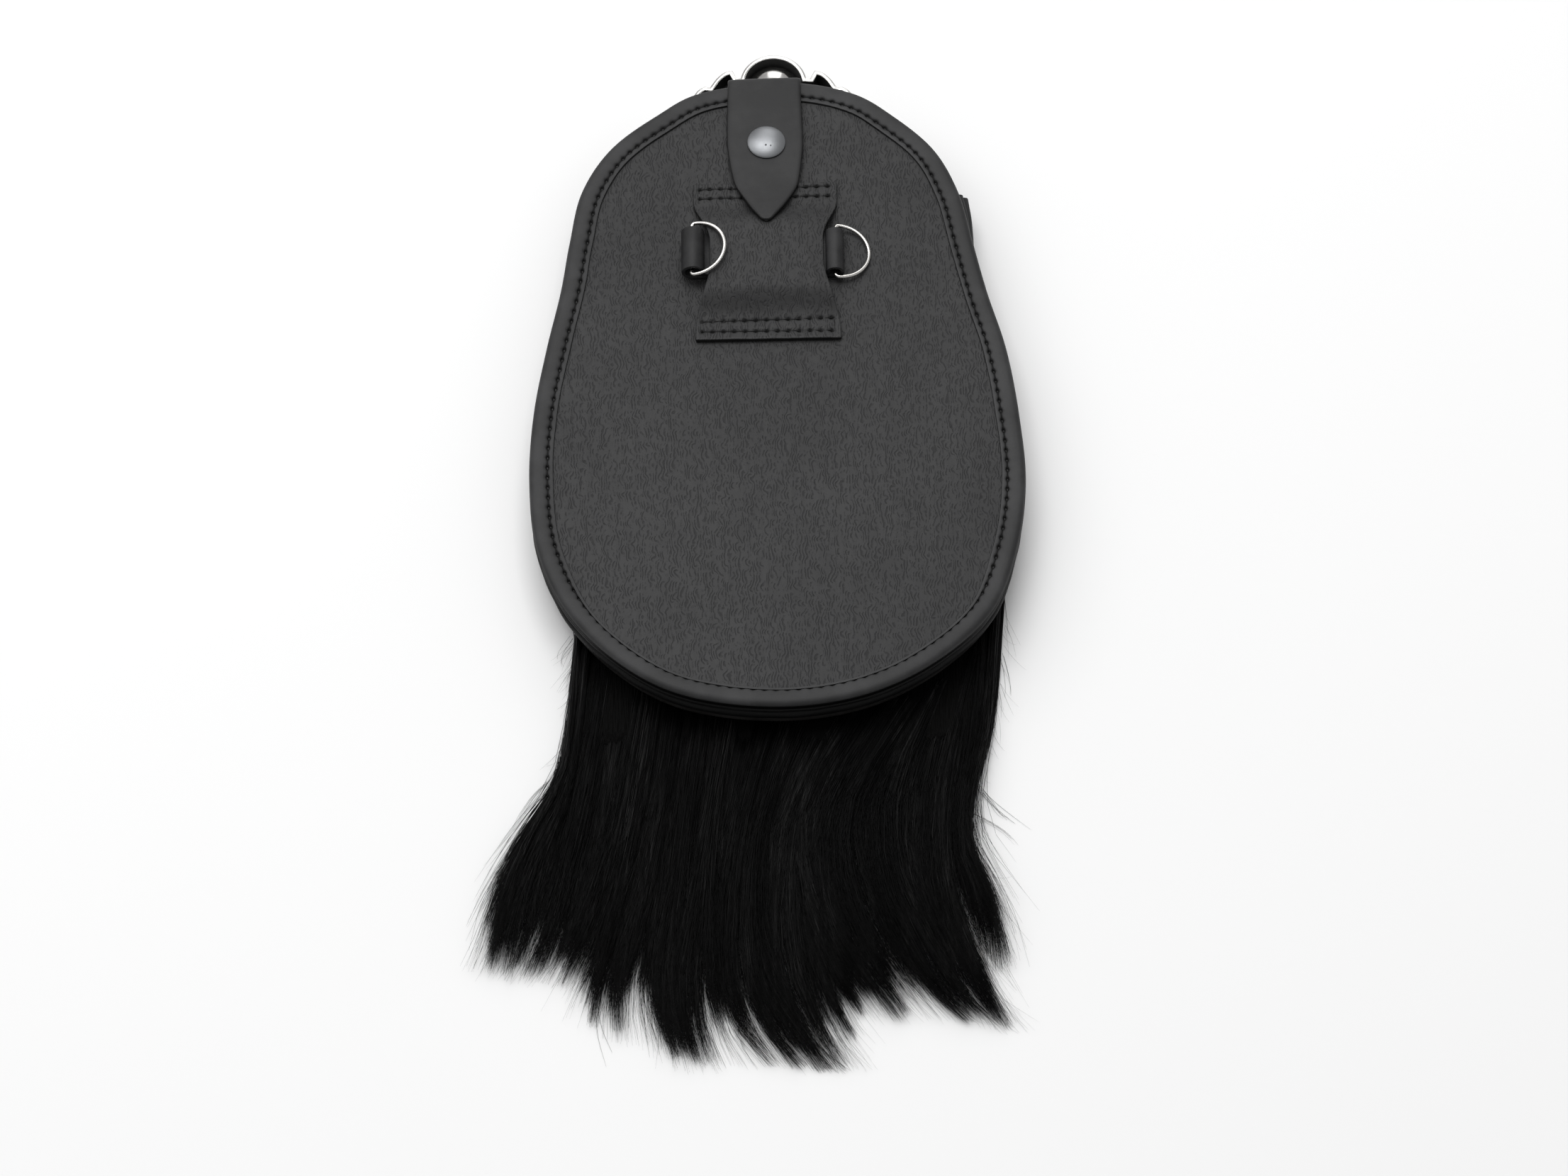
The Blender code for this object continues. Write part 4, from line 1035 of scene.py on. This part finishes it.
TAB_LEATHER = 1.4
TAB_STATIONS = 110
TAB_LEAN = 0.04  # the fold runs down to the left by this slope
TAB_LEAN_FROM_Y = 190.0
TAB_LEAN_OVER = 10.0
TAB_CREST = (202.4, 1.2)  # y and height above the back where a highlight is painted on the fold
TAB_PATH = [  # y, height of its middle above the back, middle x, half width
    (131.7, 8.2, 0.0, 0.9), (132.4, 7.95, 0.0, 2.0),
    (134.0, 7.5, 0.0, 3.1), (138.0, 6.2, 0.0, 5.6), (142.7, 4.9, 0.1, 8.2),
    (146.5, 4.2, 0.1, 10.3), (150.3, 3.9, 0.0, 12.1), (156.0, 3.6, -0.2, 13.3),
    (163.0, 3.4, -0.4, 14.2), (169.0, 3.35, -0.5, 14.8), (176.0, 3.3, -0.6, 14.9),
    (186.0, 3.1, -0.8, 14.6),
    (196.0, 2.8, -0.9, 14.3), (199.6, 2.6, -0.9, 14.3), (201.4, 2.1, -0.9, 14.3),
    (202.5, 1.1, -0.9, 14.3), (203.0, -0.4, -0.9, 14.3), (203.1, -2.6, -0.9, 14.3),
    (202.9, -5.0, -0.9, 14.3), (202.0, -7.4, -0.9, 14.2), (200.0, -9.4, -0.9, 14.1),
    (197.0, -10.6, -0.9, 14.0), (190.0, -11.0, -0.9, 14.0), (176.0, -11.0, -0.9, 14.0),
]
TAB_SECTION = [  # share of the half width, inwards from the edge, share of half
    (0.0, 0.0, 1.0), (0.5, 0.0, 1.0), (0.8, 0.0, 0.99), (1.0, 1.3, 0.97), (1.0, 0.45, 0.86),
    (1.0, 0.12, 0.55), (1.0, 0.0, 0.0), (1.0, 0.12, -0.6), (1.0, 0.45, -0.9), (1.0, 1.0, -1.0),
    (0.5, 0.0, -1.0),
]
TAB_BLACK = (0.011, 0.011, 0.0115)
TAB_WORN = (0.0235, 0.0235, 0.024)

tab_rows = spline(TAB_PATH, TAB_STATIONS)
tab_along = unit(np.gradient(tab_rows[:, :2], axis=0))
tab_section = [(1, *row) for row in TAB_SECTION] + [(-1, *row) for row in TAB_SECTION[:0:-1]]
tab_rings, tab_marks = [], []
for (y, z, middle, half), (along_y, along_z) in zip(tab_rows, tab_along):
    fold_highlight = 0.45 * bell(y - TAB_CREST[0], 0.5) * bell(z - TAB_CREST[1], 1.0)
    ring, marks = [], []
    for side, share, inwards, level in tab_section:
        across = side * max(0.0, share * half - inwards)
        thick = level * TAB_LEATHER / 2
        thick += 0.06 * lumps(across, y * 2, 9.0, 2.2) - 0.25 * (across / 15.0) ** 4
        lean = TAB_LEAN * (across - half) * ease((y - TAB_LEAN_FROM_Y) / TAB_LEAN_OVER)
        ring.append((middle + across, y + lean - along_z * thick, BACK_FACE + z + along_y * thick))
        # Marks: painted shade on the cut edges, and a painted highlight along the top of the fold.
        marks.append(0.5 * ease(1.4 - abs(level)) * (share == 1.0) - fold_highlight * (level > 0.9))
    tab_rings.append(ring)
    tab_marks.append(marks)
tab_leather = smooth_leather("tab_leather", TAB_BLACK, TAB_WORN, 0.06, streak=(1.0, 0.4, 1.0))
piece("folded_tab", skin(tab_rings, marks=tab_marks), tab_leather, "closing_tab")


# ---- press stud ----
# A domed nickel cap with a rolled edge, riveted through the tab to its socket, and the ball that
# it snaps on, riveted through the back.

SNAP_X = 0.0
SNAP_Y = 170.3
SNAP_STEPS = 64
CAP_PROFILE = [  # radius, height above the back
    (0.0, 6.70), (1.2, 6.67), (2.5, 6.54), (3.8, 6.30), (5.0, 5.96), (6.0, 5.58), (6.8, 5.18),
    (7.25, 4.92), (7.46, 4.72), (7.5, 4.58), (7.42, 4.42), (7.2, 4.35), (1.8, 4.35), (1.8, 2.3),
    (5.0, 2.3), (5.2, 2.1), (5.2, 0.5), (5.0, 0.3), (2.6, 0.3), (2.4, 0.5), (2.4, 1.8), (0.0, 1.8),
]
STUD_PROFILE = [
    (0.0, 1.5), (0.8, 1.46), (1.5, 1.30), (1.9, 1.05), (2.0, 0.82), (1.8, 0.55), (1.3, 0.3),
    (1.3, -2.5), (3.7, -2.5), (4.0, -2.7), (3.8, -3.05), (3.0, -3.2), (0.0, -3.2),
]
DIMPLES = [(-0.2, -2.6), (1.8, -2.8)]  # from the cap's centre
DIMPLE_HEIGHT = 6.6
DIMPLE_RADII = (0.10, 0.45)
NICKEL = (0.27, 0.277, 0.288)
TARNISHED = (0.20, 0.207, 0.216)


def turned(profile):
    """The profile, spun about the press stud's upright axis."""
    bm = bmesh.new()
    verts = [bm.verts.new((SNAP_X + r, SNAP_Y, BACK_FACE + z)) for r, z in profile]
    edges = [bm.edges.new(pair) for pair in zip(verts, verts[1:])]
    bmesh.ops.spin(bm, geom=verts + edges, cent=(SNAP_X, SNAP_Y, 0.0), axis=(0, 0, 1),
                   angle=2 * math.pi, steps=SNAP_STEPS, use_merge=True)
    bmesh.ops.remove_doubles(bm, verts=bm.verts, dist=0.001)
    bmesh.ops.scale(bm, vec=(MM, MM, MM), verts=bm.verts)
    return bm


nickel = Finish("snap_nickel", Base_Color=NICKEL, Metallic=1.0)
brushed = nickel.grain(0.22, detail=3.0, roughness=0.6)
tarnish = nickel.grain(2.6, detail=4.0, roughness=0.6)
surface = brushed * 0.04
for x, y in DIMPLES:
    ends = {0: nickel.place(), 1: (SNAP_X + x, SNAP_Y + y, BACK_FACE + DIMPLE_HEIGHT)}
    far = nickel.node("VectorMath", {"operation": 'DISTANCE'}, ends, out="Value")
    surface = surface + nickel.step(far, *DIMPLE_RADII) * 0.8
nickel.feed(Base_Color=nickel.mix(tarnish * 0.8, NICKEL, TARNISHED),
            Roughness=nickel.between(tarnish, 0.35, 0.44) + brushed * 0.05,
            Normal=nickel.bump(surface, 0.30))
piece("snap_dome", turned(CAP_PROFILE), nickel, "snap_cap")
piece("snap_ball", turned(STUD_PROFILE), nickel, "snap_stud")


# ---- belt patch ----
# A waisted patch of the same grained hide, sewn down at its top and bottom ends with two rows
# each. Its middle stands up over the ring strap, and its free sides are drawn in by it.

PATCH_X = 0.2
PATCH_Y = 117.0
PATCH_TURN = 1.3  # degrees
PATCH_LEATHER = 1.8
PATCH_HALF_WIDTH = 28.0
PATCH_HALF_LENGTH = 35.8
PATCH_WAIST = 6.0
PATCH_PULL = (-32.0, -2.0, 7.0, 28.0)  # along it: the waist sets in, is full, is full still, ends
PATCH_LEVEL = 12.8  # it is fully raised this far to each side of its middle
PATCH_SEWN = 27.0  # and lies on the back from here to its ends
PATCH_LIFT = 4.2
PATCH_CROWN = 1.0
PATCH_EDGE = 0.38  # round of its cut edge
PATCH_COLUMNS = 92
PATCH_ROWS = 116
PATCH_SEAMS = [(33.3, 33.9), (29.0, 29.5), (-27.6, -26.7), (-32.1, -32.4)]  # along, at each side
PATCH_SEAM_HALF = 25.6
PATCH_STITCH = 4.17
PATCH_THREAD = 0.28  # its middle below the patch's face
PATCH_STITCH_SHARE = 0.84
PATCH_BLACK = (0.010, 0.010, 0.0105)
PATCH_WORN = (0.0245, 0.0245, 0.025)
GAP = 0.3


def patch_holes(row):
    """The places of a row's holes across the patch, evenly spaced but a little hand-wandered."""
    left, right = row
    count = round(2 * PATCH_SEAM_HALF / PATCH_STITCH)
    return [(-PATCH_SEAM_HALF + 2 * PATCH_SEAM_HALF * k / count,
             left + (right - left) * k / count + 0.18 * lumps(k * 3.0, left, 4.0, 6.0))
            for k in range(count + 1)]


def raised(along):
    """Share of the lift that the patch has at a distance along it."""
    return ease((PATCH_SEWN - abs(along)) / (PATCH_SEWN - PATCH_LEVEL))


def patch_point(across, along):
    """A point of the patch's middle layer: across from -1 to 1, along in millimetres."""
    low, full_low, full_high, high = PATCH_PULL
    waist = min(ease((along - low) / (full_low - low)), ease((high - along) / (high - full_high)))
    x = across * (PATCH_HALF_WIDTH - PATCH_WAIST * waist)
    lift = raised(along) * (PATCH_LIFT + PATCH_CROWN * (1 - across ** 2))
    return x, along, GAP + PATCH_LEATHER / 2 + lift


def sewn_in(x, y):
    """How deep the seams draw the patch in at a point, and its mark there: painted shade along the
    seams' lines and in their holes.
    """
    dip, mark = 0.0, 0.0
    phase = (x + PATCH_SEAM_HALF) / PATCH_STITCH
    hole = bell((phase - round(phase)) * PATCH_STITCH, 0.72)
    beyond = max(0.0, abs(x) - PATCH_SEAM_HALF)
    for row in patch_seams:
        if abs(y - row[0][1]) > 3.0 or beyond > 2.0:
            continue
        off_row = y - np.interp(x, *zip(*row))
        line = bell(off_row, 0.46) * bell(beyond, 0.4)
        dot = bell(off_row, 0.72) * bell(beyond, 0.6) * hole
        dip += line * (0.30 + 0.65 * hole) + 0.22 * bell(off_row, 1.3) * hole
        mark = max(mark, line * 0.6, dot * 1.4)
    return dip, mark


def seated(x, y, height, degrees, axis='Z'):
    """Turns a piece and moves it to its place, at a height above the back."""
    turn = Matrix.Rotation(math.radians(degrees), 4, axis)
    return Matrix.Translation(Vector((x, y, BACK_FACE + height)) * MM) @ turn


patch_seams = [patch_holes(row) for row in PATCH_SEAMS]
patch_bm = bmesh.new()
painted_shading = patch_bm.verts.layers.float.new("mark")
bmesh.ops.create_grid(patch_bm, x_segments=PATCH_COLUMNS, y_segments=PATCH_ROWS, size=1.0)
for v in patch_bm.verts:
    v.co = Vector(patch_point(v.co.x, v.co.y * PATCH_HALF_LENGTH)) * MM
bmesh.ops.solidify(patch_bm, geom=patch_bm.faces[:], thickness=PATCH_LEATHER * MM)
patch_bm.normal_update()
lowest = min(v.co.z for v in patch_bm.verts)
bmesh.ops.translate(patch_bm, vec=(0.0, 0.0, GAP * MM - lowest), verts=patch_bm.verts)
patch_rim = [e for e in patch_bm.edges if e.calc_face_angle(0.0) > math.radians(60)]
bmesh.ops.bevel(patch_bm, geom=patch_rim, offset=PATCH_EDGE * MM, affect='EDGES', segments=3,
                profile=0.5, material=-1)
patch_bm.normal_update()
for v in patch_bm.verts:
    x, y, z = v.co / MM
    # On top, painted shade at the seams and a painted highlight along the bottom cut edge; painted
    # shade on the cut edges' sides.
    if v.normal.z > 0.3:
        dip, mark = sewn_in(x, y)
        pucker = 0.10 * lumps(x, y * 2.2, 2.6, 4.4) * ease((abs(y) - 22.0) / 6.0)
        sag = 0.22 * lumps(x, y, 11.0, 9.3) + 0.10 * lumps(x * 1.6, y * 0.6, 4.5, 1.3)
        v.co.z += (sag + pucker - dip) * MM
        v[painted_shading] = mark - 0.4 * bell(y + PATCH_HALF_LENGTH - 0.4, 0.35)
    elif v.normal.z > -0.3:
        v[painted_shading] = 0.5
patch_place = seated(PATCH_X, PATCH_Y, 0.0, PATCH_TURN)
bmesh.ops.transform(patch_bm, matrix=patch_place, verts=patch_bm.verts)
patch_leather = grained_leather("grained_patch", PATCH_BLACK, PATCH_WORN)
piece("sewn_patch", patch_bm, patch_leather, "belt_patch")


# ---- patch seams ----
# The same waxed thread, in two rows at each end of the patch, with a short stitch that joins the
# two rows at each side.

def patch_stitch(one, two):
    """Where a stitch lies between two holes of the patch, given in the patch's own frame."""
    start, end = (patch_place @ (Vector((*hole, 0.0)) * MM) / MM for hole in (one, two))
    height = BACK_FACE + GAP + PATCH_LEATHER - PATCH_THREAD + raised(one[1]) * PATCH_LIFT
    middle = (*((start + end) / 2).xy, height)
    return middle, (end - start).normalized().xy, (end - start).length * PATCH_STITCH_SHARE


patch_stitches = []
for row in patch_seams:
    patch_stitches += [patch_stitch(one, two) for one, two in zip(row, row[1:])]
for upper, lower in (patch_seams[:2], patch_seams[2:]):
    patch_stitches += [patch_stitch(upper[end], lower[end]) for end in (0, -1)]
piece("patch_seams", sew(patch_stitches), thread)


# ---- ring strap ----
# One smooth strap under the patch. Each of its ends is rolled round a ring's bar and tucked back
# under the patch.

STRAP_LEATHER = 1.5
STRAP_WIDTH = 18.8
STRAP_Y = 119.3
STRAP_TURN = 0.8  # degrees
STRAP_DOUBLED = 12.0  # the tucked end reaches this far in from its roll
STRAP_LAYER_GAP = 0.03
ROLLS = [(-1, -28.4, 4.5), (1, 26.6, 3.6)]  # side, middle x and radius of each roll
STRAP_STATIONS = 150
STRAP_CORNER = [(0.0, 0.40), (0.12, 0.12), (0.40, 0.0)]  # round of its cut edges
STRAP_BLACK = (0.009, 0.009, 0.0095)
STRAP_WORN = (0.026, 0.026, 0.027)

strap_ends = []
for side, x, radius in ROLLS:
    turn = radius - STRAP_LEATHER / 2
    doubled = 1.5 * STRAP_LEATHER + STRAP_LAYER_GAP
    strap_end = [(x + side * turn * math.cos(a), radius + turn * math.sin(a))
                 for a in np.radians(np.arange(-90.0, 205.0, 12.0))]
    strap_end += [(x - side * (turn + 1.6), doubled + 0.25 * (turn - 2.8)),  # off the roll
                  (x - side * 8.0, doubled), (x - side * STRAP_DOUBLED, doubled)]
    strap_ends.append(strap_end)
strap_path = spline(strap_ends[0][::-1] + strap_ends[1], STRAP_STATIONS)
strap_normals = -outward(strap_path, closed=False)
strap_section = []
for side_n, side_w in ((1, 1), (-1, 1), (-1, -1), (1, -1)):
    corner = STRAP_CORNER if side_n * side_w > 0 else STRAP_CORNER[::-1]
    strap_section += [(side_n * (STRAP_LEATHER / 2 - in_n), side_w * (STRAP_WIDTH / 2 - in_w))
                      for in_n, in_w in corner]
strap_rings = []
for (x, z), (normal_x, normal_z) in zip(strap_path, strap_normals):
    ring = []
    for out, wide in strap_section:
        out += 0.12 * lumps(x * 2 + z * 3, wide, 5.0, 3.9)
        ring.append((x + normal_x * out, wide, z + normal_z * out))
    strap_rings.append(ring)
strap_bm = skin(strap_rings)
bmesh.ops.transform(strap_bm, matrix=seated(0.0, STRAP_Y, GAP, STRAP_TURN), verts=strap_bm.verts)
strap_leather = smooth_leather("strap_leather", STRAP_BLACK, STRAP_WORN, 0.10,
                               streak=(1.0, 0.5, 1.0))
piece("rolled_strap", strap_bm, strap_leather, "ring_strap")


# ---- D-rings ----
# Two D-rings of bright round steel wire. Each swings on its straight bar inside the rolled strap
# end, and rests fallen over to the right.

RING_WIRE = 1.5
RING_HALF_BAR = 11.65
RING_SHOULDER = 1.5
RING_CORNER = 1.2
RINGS = [  # name, node, body, bar x, middle y, bar height, tilt
    ("left_wire_ring", "left_ring", "left_d_ring", -28.8, 119.6, 5.95, 14.6),
    ("right_wire_ring", "right_ring", "right_d_ring", 26.9, 120.5, 3.4, -9.6),
]
STEEL = (0.80, 0.78, 0.75)
DULL_STEEL = (0.58, 0.56, 0.53)

ring_half = [(0.0, 0.0)]
for a in np.radians(np.arange(0.0, 91.0, 15.0)):
    ring_half.append((RING_CORNER * (1 - math.cos(a)),
                      RING_HALF_BAR - RING_CORNER + RING_CORNER * math.sin(a)))
for a in np.radians(np.arange(90.0, -1.0, -5.0)):
    ring_half.append((RING_SHOULDER + RING_HALF_BAR * math.cos(a), RING_HALF_BAR * math.sin(a)))
ring_line = ring_half + [(x, -y) for x, y in reversed(ring_half[1:-1])]
ring_line = np.array([(x, y, 0.0) for x, y in ring_line])
steel = Finish("ring_steel", Metallic=1.0)
dull = steel.grain(3.0, detail=3.0)
steel.feed(Base_Color=steel.mix(dull * 0.4, STEEL, DULL_STEEL),
           Roughness=steel.between(dull, 0.16, 0.30),
           Normal=steel.bump(steel.grain(0.18, detail=3.0, roughness=0.7), 0.02))
for name, node, body, x, y, height, tilt in RINGS:
    ring_bm = swept(name, [(ring_line, np.ones(len(ring_line)))], closed=True,
                    bevel_depth=RING_WIRE / 2 * MM, bevel_resolution=5)
    bmesh.ops.transform(ring_bm, matrix=seated(x, y, height, -tilt, 'Y'), verts=ring_bm.verts)
    piece(name, ring_bm, steel, node, body=body)
